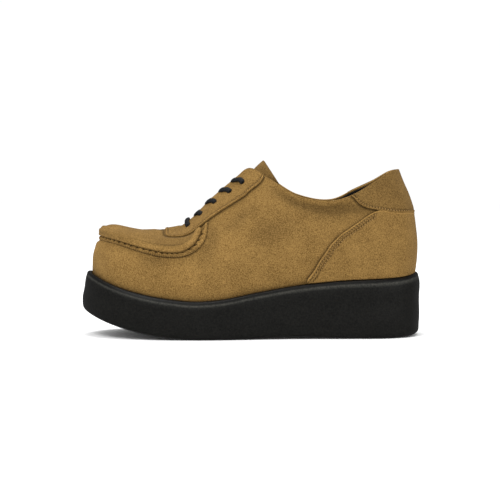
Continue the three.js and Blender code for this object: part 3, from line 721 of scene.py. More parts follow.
class Nodes:
    """Adds nodes to one node tree and joins them up."""

    def __init__(self, tree: Tree) -> None:
        """Takes the tree."""
        self.tree = tree

    def add(self, kind: str, **values: object) -> bpy.types.Node:
        """Adds a node and sets its settings.

        Args:
            kind: The node's type.
            values: Its settings, by their names.

        Returns:
            The new node.
        """
        node = self.tree.nodes.new(kind)
        for name, value in values.items():
            setattr(node, name, value)
        return node

    def join(self, start: Socket, end: Socket) -> None:
        """Joins the socket that gives to the socket that takes."""
        self.tree.links.new(start, end)

    def maths(self, operation: Sum, a: Number, b: Number, clamp: bool = False) -> Socket:
        """Adds a sum of two numbers or sockets.

        Args:
            operation: What to do with them.
            a: The first.
            b: The second.
            clamp: Whether the result stays between 0 and 1.

        Returns:
            The result's socket.
        """
        node = self.add("ShaderNodeMath", operation=operation.value, use_clamp=clamp)
        for socket, value in zip(node.inputs, (a, b), strict=False):
            if isinstance(value, Socket):
                self.join(value, socket)
            else:
                socket.default_value = value
        return node.outputs[0]

    def noise(
        self, place: Socket, scale: Socket, roughness: float
    ) -> Socket:
        """Adds a noise.

        Args:
            place: Where it is read.
            scale: Its scale.
            roughness: How strong its finer layers are.

        Returns:
            The noise's socket.
        """
        node = self.add("ShaderNodeTexNoise")
        node.inputs["Detail"].default_value = NOISE_LAYERS
        node.inputs["Roughness"].default_value = roughness
        self.join(place, node.inputs["Vector"])
        self.join(scale, node.inputs["Scale"])
        return node.outputs["Fac"]


def surface_group() -> Tree:
    """Makes the node group that gives every finish its patches, grain and relief, and darkens or lightens
    its colour by the painted shading.

    Returns:
        The group.
    """
    group = bpy.data.node_groups.new("mottled_surface", "ShaderNodeTree")
    face = group.interface
    for name in ("Light", "Dark"):
        face.new_socket(name, in_out="INPUT", socket_type="NodeSocketColor")
    for name in ("Painted shading", "Patch scale", "Grain scale", "Patch contrast", "Grain contrast", "Relief"):
        face.new_socket(name, in_out="INPUT", socket_type="NodeSocketFloat")
    face.new_socket("Colour", in_out="OUTPUT", socket_type="NodeSocketColor")
    face.new_socket("Normal", in_out="OUTPUT", socket_type="NodeSocketVector")
    nodes = Nodes(group)
    given = nodes.add("NodeGroupInput").outputs
    place = nodes.add("ShaderNodeTexCoord").outputs["Object"]
    patches = nodes.noise(place, given["Patch scale"], PATCH_ROUGHNESS)
    grain = nodes.noise(place, given["Grain scale"], GRAIN_ROUGHNESS)
    patch_part = nodes.maths(Sum.TIMES, nodes.maths(Sum.MINUS, patches, 0.5), given["Patch contrast"])
    grain_part = nodes.maths(Sum.TIMES, nodes.maths(Sum.MINUS, grain, 0.5), given["Grain contrast"])
    level = nodes.maths(Sum.PLUS, nodes.maths(Sum.PLUS, patch_part, grain_part), 0.5, clamp=True)
    mix = nodes.add("ShaderNodeMix", data_type="RGBA")
    nodes.join(level, mix.inputs["Factor"])
    colours = [socket for socket in mix.inputs if socket.type == "RGBA"]
    nodes.join(given["Dark"], colours[0])
    nodes.join(given["Light"], colours[1])
    # Painted shade darkens the mixed colour; negative values paint a highlight
    left = nodes.maths(Sum.MINUS, 1.0, nodes.maths(Sum.TIMES, given["Painted shading"], PAINTED_SHADING_STRENGTH))
    shaded = nodes.add("ShaderNodeVectorMath", operation="SCALE")
    nodes.join(next(socket for socket in mix.outputs if socket.type == "RGBA"), shaded.inputs[0])
    nodes.join(left, shaded.inputs["Scale"])
    bumps = nodes.add("ShaderNodeBump")
    nodes.join(grain, bumps.inputs["Height"])
    nodes.join(given["Relief"], bumps.inputs["Distance"])
    out = nodes.add("NodeGroupOutput").inputs
    nodes.join(shaded.outputs[0], out["Colour"])
    nodes.join(bumps.outputs["Normal"], out["Normal"])
    return group


def paint_all() -> Paints:
    """Makes the materials of all finishes."""
    group = surface_group()
    return {finish: finish.material(group) for finish in (SUEDE, THREAD, RUBBER, LINING, LACE_YARN)}


# Meshes


@dataclass(frozen=True)
class Piece:
    """One dressed mesh of the shoe."""

    obj: MeshObject
    slot: Slot
    nodes: tuple[str, ...] = ()

    def fasten(self, shift: Array) -> None:
        """Fixes the piece to the shoe's body and hides the solids that it stands for.

        Args:
            shift: From the last's own frame to the part's frame.
        """
        self.obj.location = shift
        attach(self.obj, "root")
        if self.nodes:
            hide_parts(*self.nodes)


def grid_faces(rows: int, columns: int, wrap: bool = False, flip: bool = False) -> Array:
    """Lists the quads of a grid of points.

    Args:
        rows: Number of rows.
        columns: Number of points in a row.
        wrap: Whether the last row joins the first.
        flip: Whether the faces turn the other way.

    Returns:
        Point numbers, four in a row.
    """
    i = np.arange(rows if wrap else rows - 1)[:, None] * columns
    k = np.arange(columns - 1)[None]
    size = rows * columns
    quads = np.stack([i + k, i + k + 1, (i + k + 1 + columns) % size, (i + k + columns) % size], -1)
    quads = quads.reshape(-1, 4)
    return quads[:, ::-1] if flip else quads


def make_object(name: str, points: Array, faces: Array, material: Material) -> MeshObject:
    """Makes a smooth mesh object.

    Args:
        name: The object's name.
        points: Its points.
        faces: Its faces, all with the same number of corners.
        material: Its material.

    Returns:
        The new object.
    """
    points = np.ascontiguousarray(points.reshape(-1, 3), dtype=np.float32)
    sides = faces.shape[1]
    mesh = bpy.data.meshes.new(name)
    mesh.vertices.add(len(points))
    mesh.vertices.foreach_set("co", points.ravel())
    mesh.loops.add(faces.size)
    mesh.loops.foreach_set("vertex_index", np.ascontiguousarray(faces, dtype=np.int32).ravel())
    mesh.polygons.add(len(faces))
    mesh.polygons.foreach_set("loop_start", np.arange(0, faces.size, sides, dtype=np.int32))
    mesh.update(calc_edges=True)
    mesh.validate()
    mesh.shade_smooth()
    mesh.materials.append(material)
    obj = bpy.data.objects.new(name, mesh)
    bpy.context.scene.collection.objects.link(obj)
    return obj


def set_painted_shading(obj: MeshObject, values: Array) -> None:
    """Stores the painted shading of each point of a mesh, which its material reads: painted shade where
    positive, painted highlight where negative.
    """
    layer = obj.data.attributes.new("painted_shading", "FLOAT", "POINT")
    layer.data.foreach_set("value", np.ascontiguousarray(values.ravel(), dtype=np.float32))


# Relief of the suede


def bump(distance: Array, width: float) -> Array:
    """Gives a smooth hump that is 1 in its middle and mostly gone at its width."""
    return np.exp(-((distance / width) ** 2))


def step_up(values: Array, low: float, high: float) -> Array:
    """Rises smoothly from 0 to 1 between two limits."""
    f = np.clip((values - low) / (high - low), 0, 1)
    return f * f * (3 - 2 * f)


def beat(along: Array, pitch: float) -> Array:
    """Gives a wave that is 1 at each whole pitch and -1 half way between."""
    return np.cos(along * FULL_TURN / pitch)


@dataclass(frozen=True)
class Hump:
    """A smooth rise, or a dark line, across a surface."""

    height: float  # Its height, or how dark it is
    place: float
    width: float  # Distance from its middle at which it has mostly gone

    def over(self, values: Array) -> Array:
        """Gives its height at the values."""
        return self.height * bump(values - self.place, self.width)


@dataclass(frozen=True)
class Fold:
    """One soft trough or ridge of the upper."""

    name: str
    path: tuple[Cut, ...]  # Section and level of the points that it runs through
    width: float  # Distance from its middle at which it has mostly gone
    height: float  # Its height; a trough's is negative
    samples: int = 40  # Points along it that the distance is measured from
    ends: float = 0.6  # How softly its ends fade, less for longer strength

    def relief(self, flat: Array) -> Array:
        """Gives its height on the outer and on the inner side.

        Args:
            flat: Points of the last, with shape (count, 3).

        Returns:
            One height for each point.
        """
        path = np.array(self.path)
        positions = np.linspace(0, len(path) - 1, self.samples)
        sections, levels = (np.interp(positions, range(len(path)), path[:, axis]) for axis in (0, 1))
        fade = np.sin(np.linspace(0, np.pi, self.samples + 2)[1:-1]) ** self.ends
        total = np.zeros(len(flat))
        for side in (sections, ROUND - sections):
            best = np.full(len(flat), -np.inf)
            for centre, strength in zip(LAST.point(side, levels), fade, strict=True):
                near = ((flat - centre) ** 2).sum(1) / self.width**2
                best = np.maximum(best, np.log(strength) - near)
            total += self.height * np.exp(best)
        return total


FOLDS = (
    Fold("trough under the topline", ((5.9, 6.4), (5.2, 6.32), (4.3, 6.28), (3.5, 6.22)), 0.0042, -0.0014),
    Fold("rolled topline", ((6.0, 6.86), (5.2, 6.84), (4.3, 6.82), (3.4, 6.78)), 0.0024, 0.0005),
    Fold("trough before the tab", ((3.9, 6.25), (3.3, 5.95), (2.85, 5.4), (2.5, 4.9)), 0.0045, -0.0013),
    Fold("dip at the collar", ((4.7, 5.8), (4.0, 5.7), (3.5, 5.5)), 0.0080, -0.0006),
    Fold("bulge of the toe's wall", ((11.3, 2.0), (11.9, 2.1)), 0.0080, 0.0008),
    Fold("dent behind the toe", ((10.5, 2.6), (11.0, 2.6)), 0.0060, -0.0007),
    Fold("bulge of the vamp's wall", ((9.7, 1.6), (10.2, 1.6)), 0.0080, 0.0006),
    Fold("bend line of the vamp", ((8.9, 4.8), (9.0, 3.6), (9.2, 2.4)), 0.0070, -0.0007),
    Fold("ridge beside the bend", ((8.5, 4.4), (8.6, 3.4), (8.9, 2.2)), 0.0080, 0.0006),
    Fold("dent under the throat", ((8.7, 3.9), (7.9, 4.3), (6.9, 4.5)), 0.0060, -0.0008),
    Fold("ridge under the throat", ((8.4, 3.2), (7.6, 3.6), (6.7, 3.8)), 0.0070, 0.0005),
    Fold("hollow of the quarter", ((6.6, 3.0), (5.8, 3.6), (5.2, 4.2)), 0.0100, -0.0006),
    Fold("wall under the toe's seam", ((12.0, 2.7), (13.0, 2.75), (14.0, 2.7)), 0.0040, 0.0011),
    Fold("crease over the toe", ((12.0, 4.15), (12.3, 4.45), (12.6, 4.75)), 0.0014, -0.0005),
    Fold("soft dent of the counter", ((3.2, 3.2), (2.6, 2.4)), 0.0090, -0.0006),
)


def relief(points: Array) -> Array:
    """Gives the height of all folds at points of the last."""
    flat = points.reshape(-1, 3)
    return sum(fold.relief(flat) for fold in FOLDS).reshape(points.shape[:-1])


def dressed(sections: Array, levels: Array, lift: Array | float) -> Array:
    """Finds points over the last with the folds of the suede added.

    Args:
        sections: Section numbers.
        levels: Levels.
        lift: Height over the suede.

    Returns:
        The points, as (..., 3).
    """
    base = LAST.point(sections, levels)
    height = relief(base) + lift
    return base + LAST.normal(sections, levels) * height[..., None]


# The eyelets


@dataclass(frozen=True)
class Eyelets:
    """The ten eyelets punched through the eyestay and the upper."""

    radius: float = 0.0023
    core: float = 0.55  # Share of the radius inside which a sheet's faces are dropped
    reach: float = 2  # Radii from the middle up to which a sheet's points make way
    floor: float = LAYER_GAP + EYESTAY_THICKNESS  # Height of the eyestay's face over the last
    sides: int = 24
    # How far out of the radius and over the eyestay each ring of a wall lies, and how dark its painted
    # shade is, deepening down the hole
    steps: tuple[Triple, ...] = (
        (0.0005, -0.0001, 0.1),
        (0.0002, 0.0001, 0.1),
        (0.00005, -0.0002, 0.4),
        (0, -0.0005, 0.8),
        (0, -0.004, 1),
    )

    @cached_property
    def frames(self) -> list[tuple[Array, Array]]:
        """Finds where the eyelets are punched.

        Returns:
            Their middles on the last and the directions of the punch, outer side first.
        """
        sections = np.array([s for s, _ in EYELETS] + [ROUND - s for s, _ in EYELETS], float)
        levels = np.array([level for _, level in EYELETS] * 2, float)
        return list(zip(LAST.point(sections, levels), LAST.normal(sections, levels), strict=True))

    def punch(self, points: Array, faces: Array) -> tuple[Array, Array]:
        """Punches the eyelets through a sheet: its points make way and the faces inside are dropped.

        Args:
            points: The sheet's points.
            faces: Its faces.

        Returns:
            The moved points and the faces that stay.
        """
        moved = points.reshape(-1, 3).copy()
        core, reach = self.core * self.radius, self.reach * self.radius
        keep = np.ones(len(faces), bool)
        for centre, axis in self.frames:
            arm = moved - centre
            depth = arm @ axis
            flat = arm - depth[:, None] * axis
            away = np.linalg.norm(flat, axis=1)
            near = (away < reach) & (np.abs(depth) < reach)
            keep &= ~(near & (away < core))[faces].all(axis=1)
            stretch = (reach - self.radius) / (reach - core)
            opened = self.radius + (np.clip(away, core, reach) - core) * stretch
            scale = np.where(near, opened / np.maximum(away, TINY), 1)
            moved += flat * (scale - 1)[:, None]
        return moved, faces[keep]

    def build(self, paints: Paints) -> list[Piece]:
        """Makes the walls, rounded over at their rims.

        Args:
            paints: The materials.

        Returns:
            The one piece.
        """
        turns = np.linspace(0, FULL_TURN, self.sides + 1)
        rings = []
        faces = []
        for centre, axis in self.frames:
            side = unit(np.cross(axis, [0, 0, 1]))
            up = np.cross(axis, side)
            spin = np.cos(turns)[:, None] * side + np.sin(turns)[:, None] * up
            faces.append(grid_faces(len(self.steps), len(turns)) + len(rings) * len(turns))
            for out, drop, _ in self.steps:
                rings.append(centre + axis * (self.floor + drop) + spin * (self.radius + out))
        obj = make_object("eyelet_walls", np.array(rings), np.vstack(faces), paints[SUEDE])
        # Painted shade on the walls, darker further down into each hole
        darks = [dark for _, _, dark in self.steps] * len(self.frames)
        set_painted_shading(obj, np.repeat(darks, len(turns)))
        return [Piece(obj, Slot.SUEDE)]


PUNCH = Eyelets()


# Layers on the upper


@dataclass(frozen=True)
class Field:
    """Where the points of a layer lie."""

    along: Array  # Distance along the layer's first edge
    share: Array  # Share of the way across, from the first edge to the second
    inset: Array  # Distance from the first edge
    far: Array  # Distance from the second edge
    section: Array


@dataclass(frozen=True)
class Stitching:
    """One row of stitches along a layer's first edge."""

    inset: float
    pitch: float
    length: float
    start: float = 0  # Section where it starts, counted from the layer's middle section 0

    def sewn(self, section: Array) -> Array:
        """Says at which sections the row is sewn."""
        return np.abs(section) >= self.start


@dataclass(frozen=True)
class Thread:
    """The small rounded bar that one stitch shows."""

    radius: float = 0.0004
    sides: int = 8
    # Place of each slice, from -1 to 1 along half its length, and its share of the radius
    slices: tuple[Cut, ...] = (
        (-1, 0.05), (-0.9, 0.6), (-0.55, 1), (0, 1), (0.55, 1), (0.9, 0.6), (1, 0.05),
    )
    dark: Cut = (0.4, 0.4)  # Places from which painted shade darkens its ends, and over which

    def bars(self, ends: Array, ups: Array, points_before: int) -> tuple[Array, Array]:
        """Makes one bar between each pair of ends.

        Args:
            ends: Pairs of points, with shape (bars, 2, 3).
            ups: Outward unit vectors, one for each bar.
            points_before: Number of points that lie before these in the mesh.

        Returns:
            The points and the faces.
        """
        along = ends[:, 1] - ends[:, 0]
        length = np.linalg.norm(along, axis=1, keepdims=True)
        ahead = along / length
        side = unit(np.cross(ahead, ups))
        up = np.cross(side, ahead)
        turns = np.linspace(0, FULL_TURN, self.sides)
        slices = np.array(self.slices)
        reach = ahead[:, None] * slices[None, :, :1] * length[:, None] / 2
        centre = ends.mean(axis=1)[:, None] + reach
        spin = np.cos(turns)[:, None] * side[:, None] + np.sin(turns)[:, None] * up[:, None]
        points = centre[:, :, None] + spin[:, None] * (self.radius * slices[:, 1])[None, :, None, None]
        one = grid_faces(len(slices), len(turns))
        size = len(slices) * len(turns)
        faces = one[None] + (np.arange(len(ends)) * size)[:, None, None] + points_before
        return points.reshape(-1, 3), faces.reshape(-1, 4)

    def painted_shading(self, count: int) -> Array:
        """Paints shade on the ends of bars, where the thread goes into its holes, with a number of points
        between them.

        Args:
            count: The number of points.

        Returns:
            One value for each point.
        """
        places = np.abs([place for place, _ in self.slices])
        shade = np.repeat(np.clip((places - self.dark[0]) / self.dark[1], 0, 1), self.sides)
        return np.tile(shade, count // len(shade))


THREAD_BAR = Thread()


@dataclass(frozen=True)
class Overlay:
    """A layer over the last between two edges, mirrored from the outer side to the inner side."""

    name: str
    node: str
    cuts: tuple[tuple[Cut, Cut], ...]  # Section and level of each cut's one edge, then of its other edge
    thickness: float
    radius: float  # Radius of its rounded edges
    spacing: float
    columns: int  # Points between its edges
    foot: float = 1  # How dark its painted contact shade is where it meets what it lies on
    reach: Cut = (0, 1)  # Shares across at which it starts and ends
    rows: tuple[Stitching, ...] = ()
    tone: float = 0  # How much darker the whole layer is
    # How dark the painted shade is on its rounded edges as they turn down
    edge_dark: float = 0.25
    foot_sunk: float = 0.0002  # How far its foot goes into what it lies on
    swell: Hump = Hump(0.0003, 0.0008, 0.0007)  # The ridge along its first edge
    groove: Hump = Hump(0.00035, 0, 0.0008)  # The trough that a row of stitches pulls
    pale_edge_and_highlight: Hump = Hump(0.45, 0.0007, 0.0008)  # The lighter line along its first edge: a painted highlight on the raised edge, and the paler cut edge of the suede
    # The painted shade in a needle hole, and the faint line of painted shade along the row that joins them
    needle: tuple[Hump, Hump] = (Hump(1, 0, 0.0007), Hump(0.12, 0, 0.0007))

    def shape(self, field: Field) -> Array:
        """Swells the layer along its first edge and pulls it in under its rows of stitches.

        Args:
            field: Where the layer's points lie.

        Returns:
            Heights to add to its thickness.
        """
        total = self.swell.over(field.inset)
        for row in self.rows:
            total = total - self.groove.over(field.inset - row.inset) * row.sewn(field.section)
        return total

    def shade(self, field: Field) -> Array:
        """Paints a highlight on the raised first edge, which is also the suede's paler cut, and paints
        shade into the needle holes.

        Args:
            field: Where the layer's points lie.

        Returns:
            Values from less than 0, for lighter, to 1.
        """
        spot, line = self.needle
        # Painted highlight, with the paler cut, along the raised first edge
        shade = self.tone - self.pale_edge_and_highlight.over(field.inset)
        # Painted shade in each needle hole and along the row's groove
        for row in self.rows:
            beside = np.abs(np.mod(field.along, row.pitch) - row.pitch / 2)
            inset = field.inset - row.inset
            dark = spot.over(np.hypot(beside, inset)) + line.over(inset)
            shade = shade + dark * row.sewn(field.section)
        return np.clip(shade, -1, 1)

    def pierce(self, points: Array, faces: Array) -> tuple[Array, Array]:
        """Gives the layer's points and faces as they are, where nothing is punched."""
        return points, faces

    def curve(self, side: int) -> Curve:
        """Fits one edge of the layer, over the outer and the inner side.

        Args:
            side: 0 for the first edge, 1 for the second.

        Returns:
            The curve of sections and levels.
        """
        outer = np.array([cut[side] for cut in self.cuts], float)
        inner = outer[-2::-1].copy()
        inner[:, 0] = 2 * outer[-1, 0] - inner[:, 0]
        return Curve(np.vstack([outer, inner]))

    def spaced(self, spacing: float) -> tuple[Array, Array]:
        """Spaces rows evenly along the first edge.

        Args:
            spacing: Distance between two rows.

        Returns:
            Positions, counted in cuts, and distances along the edge.
        """
        fine = np.linspace(0, 2 * (len(self.cuts) - 1), 1600)
        length = run_length(LAST.point(*self.curve(0).at(fine).T))
        along = np.linspace(0, length[-1], round(length[-1] / spacing) + 1)
        return np.interp(along, length, fine), along

    def places(self, rows: Array, shares: Array) -> tuple[Array, Array]:
        """Finds the sections and levels of a grid over the layer.

        Args:
            rows: Positions along the layer.
            shares: Shares of the way across, one list for all rows or one for each.

        Returns:
            The sections and the levels, both with shape (rows, shares).
        """
        a = self.curve(0).at(rows)[:, None]
        b = self.curve(1).at(rows)[:, None]
        shares = np.broadcast_to(shares, (len(rows), np.shape(shares)[-1]))[..., None]
        both = a + shares * (b - a)
        return both[..., 0], both[..., 1]

    def width(self, rows: Array) -> Array:
        """Measures the layer square to its first edge.

        Args:
            rows: Positions along the layer.

        Returns:
            One width for each row.
        """
        ends = LAST.point(*self.places(rows, np.array([0.0, 1.0])))
        along = unit(np.gradient(ends[:, 0], axis=0))
        return np.linalg.norm(np.cross(ends[:, 1] - ends[:, 0], along), axis=1)

    def profile(self, width: Array) -> tuple[Array, Array]:
        """Lays out the cross section: up one rounded edge, across, and down the other.

        Args:
            width: Width of each row.

        Returns:
            Shares across, with shape (rows, columns), and drops below the layer's top; the first and
            the last column are the layer's foot.
        """
        edge_points, most, least_width = 5, 0.4, 1e-4
        turns = np.linspace(0, QUARTER_TURN, edge_points)
        inset = self.radius * (1 - np.cos(turns))
        drop = self.radius * (1 - np.sin(turns))
        width = np.maximum(width, least_width)[:, None]
        start = inset * np.minimum(most * width / self.radius, 1) / width
        middle = np.linspace(0, 1, self.columns + 2)[1:-1]
        inner = start[:, -1:] + middle * (1 - 2 * start[:, -1:])
        foot = np.zeros_like(width)
        shares = np.hstack([foot, start, inner, 1 - start[:, ::-1], foot + 1])
        drops = np.concatenate([[0], drop, np.zeros(self.columns), drop[::-1], [0]])
        return self.reach[0] + shares * (self.reach[1] - self.reach[0]), drops

    def body(self, material: Material) -> MeshObject:
        """Makes the layer with rounded edges.

        Args:
            material: Its material.

        Returns:
            The new object.
        """
        rows, along = self.spaced(self.spacing)
        width = self.width(rows)
        shares, drops = self.profile(width)
        sections, levels = self.places(rows, shares)
        along = np.broadcast_to(along[:, None], shares.shape)
        field = Field(along, shares, shares * width[:, None], (1 - shares) * width[:, None], sections)
        feet = np.zeros(shares.shape[1], bool)
        feet[[0, -1]] = True
        top = LAYER_GAP + self.thickness + self.shape(field) - drops
        points = dressed(sections, levels, np.where(feet, -self.foot_sunk, top))
        points, faces = self.pierce(points, grid_faces(*shares.shape, flip=True))
        obj = make_object(self.name, points, faces, material)
        # Painted shade on the rounded edges, and painted contact shade at the feet
        edge = np.clip(drops / self.radius, 0, 1) * self.edge_dark
        set_painted_shading(obj, np.where(feet, self.foot, self.shade(field) + edge))
        return obj

    def sew(self, row: Stitching, points_before: int) -> tuple[Array, Array]:
        """Makes one row of stitches.

        Args:
            row: The row.
            points_before: Number of points that lie before these in the mesh.

        Returns:
            The points and the faces.
        """
        mouth_margin = 0.1
        rows, along = self.spaced(row.pitch)
        rows, along = rows[1:-1], along[1:-1]
        edge = self.curve(0).at(rows).T
        line = LAST.point(*edge)
        other = LAST.point(*self.curve(1).at(rows).T) - line
        toward = np.cross(LAST.normal(*edge), unit(np.gradient(line, axis=0)))
        toward *= np.sign((toward * other).sum(1, keepdims=True))
        width = self.width(rows)
        inset = np.full(len(rows), row.inset)
        sections, levels = LAST.inward(*edge, toward, inset)
        field = Field(along, row.inset / width, inset, width - row.inset, sections)
        lift = LAYER_GAP + self.thickness + self.shape(field) + THREAD_BAR.radius / 2
        middle = dressed(sections, levels, lift)
        half = unit(np.gradient(middle, axis=0)) * row.length / 2
        ends = np.stack([middle - half, middle + half], axis=1)
        fits = (width > 2 * row.inset) & (levels < MOUTH_LEVEL - mouth_margin) & row.sewn(sections)
        return THREAD_BAR.bars(ends[fits], LAST.normal(sections, levels)[fits], points_before)

    def stitches(self, material: Material) -> MeshObject:
        """Makes all the rows of stitches as one piece.

        Args:
            material: The thread.

        Returns:
            The new object.
        """
        all_points, all_faces, count = [], [], 0
        for row in self.rows:
            points, faces = self.sew(row, count)
            count += len(points)
            all_points.append(points)
            all_faces.append(faces)
        name = f"{self.name}_stitches"
        obj = make_object(name, np.vstack(all_points), np.vstack(all_faces), material)
        set_painted_shading(obj, THREAD_BAR.painted_shading(count))
        return obj

    def build(self, paints: Paints) -> list[Piece]:
        """Makes the layer, and its stitches if it has any.

        Args:
            paints: The materials.

        Returns:
            The pieces.
        """
        pieces = [Piece(self.body(paints[SUEDE]), Slot.SUEDE, (self.node,))]
        if self.rows:
            pieces.append(Piece(self.stitches(paints[THREAD]), Slot.SUEDE))
        return pieces


@dataclass(frozen=True)
class Eyestay(Overlay):
    """The facing round the throat, with its eyelets."""

    def pierce(self, points: Array, faces: Array) -> tuple[Array, Array]:
        """Punches the eyelets."""
        return PUNCH.punch(points, faces)


@dataclass(frozen=True)
class Apron(Overlay):
    """The plug over the toes: a rolled band beside the seam, and a pucker over the toe."""

    toe_reach: float = 2.0  # How many sections from the tip the toe's softer form reaches
    nose_reach: float = 1.2  # The same of the pucker and the shoulder
    roll: float = 0.0013
    roll_width: float = 0.0050
    roll_slope: float = 0.0016  # Width of its inner slope
    roll_shift: Cut = (0.0012, 0.010)  # How far it lies from the seam, and how much further over the toe
    roll_gone: float = 0.85  # Share of its height that it loses over the toe
    shoulder: Hump = Hump(0.0009, 0.0055, 0.0022)
    pucker: Hump = Hump(0.0018, 0.29, 0.18)  # The nose's pucker, across the apron in shares
    ripple: Hump = Hump(0.00015, 0, 0.003)  # The ripple that the seam's holes pull
    # How far the end under the eyestay goes down, and distances from it where that ends
    tuck: Triple = (0.0008, 0.0005, 0.0035)
    crease: Hump = Hump(0.5, 0.0059, 0.0009)  # The painted shade in the crease at the band's inner side
    # The shadow beside the toe: how dark, how many sections from the tip, and its reach
    flank: Hump = Hump(0.16, 2.6, 0.9)
    flank_rise: float = 0.002  # Width over which that shadow sets in
    band: Hump = Hump(0.25, 0.0030, 0.0015)  # The band of painted shade in the hollow over the seam at the toe
    under: Hump = Hump(0.7, 0, 0.0008)  # The shadow of the eyestay
    shine: Hump = Hump(0.2, 0.0025, 0.0016)  # The painted highlight on the rolled band

    def shape(self, field: Field) -> Array:
        """Shapes the band, the shoulder and the pucker, and tucks the end in.

        Args:
            field: Where the layer's points lie.

        Returns:
            Heights.
        """
        toe = bump(field.section - TIP, self.toe_reach)
        nose = bump(field.section - TIP, self.nose_reach)
        inset = field.inset - self.roll_shift[0] - self.roll_shift[1] * toe
        flat = step_up(inset, self.roll_width - self.roll_slope, self.roll_width)
        roll = self.roll * (1 - self.roll_gone * toe) * (1 - flat)
        raised = (self.pucker.over(field.share) + self.shoulder.over(field.inset)) * nose
        ripple = self.ripple.over(field.inset) * beat(field.along, HOLE_PITCH)
        depth, tuck_start, tuck_end = self.tuck
        return roll + raised - ripple - depth * (1 - step_up(field.far, tuck_start, tuck_end))

    def shade(self, field: Field) -> Array:
        """Paints shade into the crease at the inner side of the rolled band and a highlight on the band,
        and paints the shadows beside the toe, over the toe and under the eyestay.

        Args:
            field: Where the layer's points lie.

        Returns:
            Values from less than 0, for lighter, to 1.
        """
        from_tip = field.section - TIP
        toe = bump(from_tip, self.toe_reach)
        flanks = self.flank.over(from_tip) + self.flank.over(-from_tip)
        flanks = flanks * step_up(field.inset, self.roll_width, self.roll_width + self.flank_rise)
        sides = (self.crease.over(field.inset) - self.shine.over(field.inset)) * (1 - toe)
        return sides + flanks + self.band.over(field.inset) * toe + self.under.over(field.far)


@dataclass(frozen=True)
class Seam(Overlay):
    """The whipped seam: a lobe drawn in by its thread, with a row of holes in the groove."""

    lobe: float = 0.0017
    lobe_edge: float = 0.35  # Share of the lobe's height at its edges
    whip_pitch: float = 0.0018
    whip_slant: float = 0.35  # How far the whip stitches lean
    whip_depth: float = 0.00022  # How far the thread draws the lobe in
    pull: float = 0.00022  # How far the lobe swells between two holes
    hole: Hump = Hump(0.0013, 0, 0.0009)  # Depth and radius of a hole
    hole_share: float = 0.93  # Where across the seam the holes lie
    # The painted shade in a hole
    hole_dark: Hump = Hump(1.1, 0, 0.0009)
    flush: Hump = Hump(0.0011, 0, 1.5)  # How much lower the seam is over the toe, from the tip
    flush_share: float = 0.7  # Share of that which is missing at its second edge
    foot_line: Hump = Hump(0.5, 0, 0.0006)  # The painted contact shade at its first edge
    groove_line: Hump = Hump(0.15, 0, 0.0005)  # The painted shade in its groove
    groove_share: float = 0.95  # Where across the seam the groove lies
    lattice_pitch: float = 0.0038  # Distance between the crossed threads at its upper end
    lattice: Hump = Hump(0.6, 0, 0.0003)  # The dark line of a crossed thread
    lattice_base: float = 0.25  # How much lighter the leather is between the crossed threads
    # Sections between which the crossed threads turn into the whip stitches
    lattice_end: Cut = (9.45, 9.75)
    whip_dark: float = 0.5  # How dark the painted shade between two whip stitches is
    lift: float = 0.15  # How much lighter the whole seam is
    least: float = -0.4

    def hole_distance(self, field: Field) -> Array:
        """Measures how far points are from the nearest hole.

        Args:
            field: Where the layer's points lie.

        Returns:
            Distances.
        """
        width = field.inset + field.far
        beside = np.abs(np.mod(field.along + HOLE_PITCH / 2, HOLE_PITCH) - HOLE_PITCH / 2)
        return np.hypot(beside, (field.share - self.hole_share) * width)

    def whip(self, field: Field) -> Array:
        """Gives the slanted whip stitches, from 0 on a stitch to 1 between two."""
        return 0.5 - 0.5 * beat(field.along + self.whip_slant * field.inset, self.whip_pitch)

    def shape(self, field: Field) -> Array:
        """Shapes the lobe with its whip lines and holes.

        Args:
            field: Where the layer's points lie.

        Returns:
            Heights.
        """
        arch = np.sin(np.pi * np.clip(field.share, 0, 1))
        lobe = self.lobe * (self.lobe_edge + (1 - self.lobe_edge) * arch)
        drawn = self.pull * beat(field.along, HOLE_PITCH) + self.whip_depth * self.whip(field)
        flush = self.flush.over(field.section - TIP) * (1 - self.flush_share * field.share**2)
        return lobe - drawn * arch - self.hole.over(self.hole_distance(field)) - flush

    def shade(self, field: Field) -> Array:
        """Paints shade into the holes, along the foot, in the groove and between the whip stitches, and
        draws the crossed threads' dark lines.

        Args:
            field: Where the layer's points lie.

        Returns:
            Values from less than 0, for lighter, to 1.
        """
        end = 1 - step_up(np.minimum(field.section, ROUND - field.section), *self.lattice_end)
        crossed = -self.lattice_base
        for slant in (-1, 1):
            along = np.mod(field.along + slant * field.inset, self.lattice_pitch)
            crossed = crossed + self.lattice.over(along - self.lattice_pitch / 2)
        threads = crossed * end + self.whip_dark * self.whip(field) * (1 - end)
        groove = self.groove_line.over((field.share - self.groove_share) * (field.inset + field.far))
        holes = self.hole_dark.over(self.hole_distance(field))
        dark = holes + self.foot_line.over(field.inset) + groove + threads
        return np.clip(dark - self.lift, self.least, 1)


def counter_cuts() -> tuple[tuple[Cut, Cut], ...]:
    """Finds the counter's edges: its upper one, and the one that stands in the sole.

    Returns:
        Section and level of each cut's one edge, then of its other edge.
    """
    over_rim, tucked, tucked_sections = 0.0003, 0.12, 2
    cuts = []
    for (section, level), foot in COUNTER_CUTS:
        low = float(LAST.level_over_rim(np.array([foot]), over_rim)[0])
        cuts.append(((section, level + tucked * (section < tucked_sections)), (foot, low)))
    return tuple(cuts)


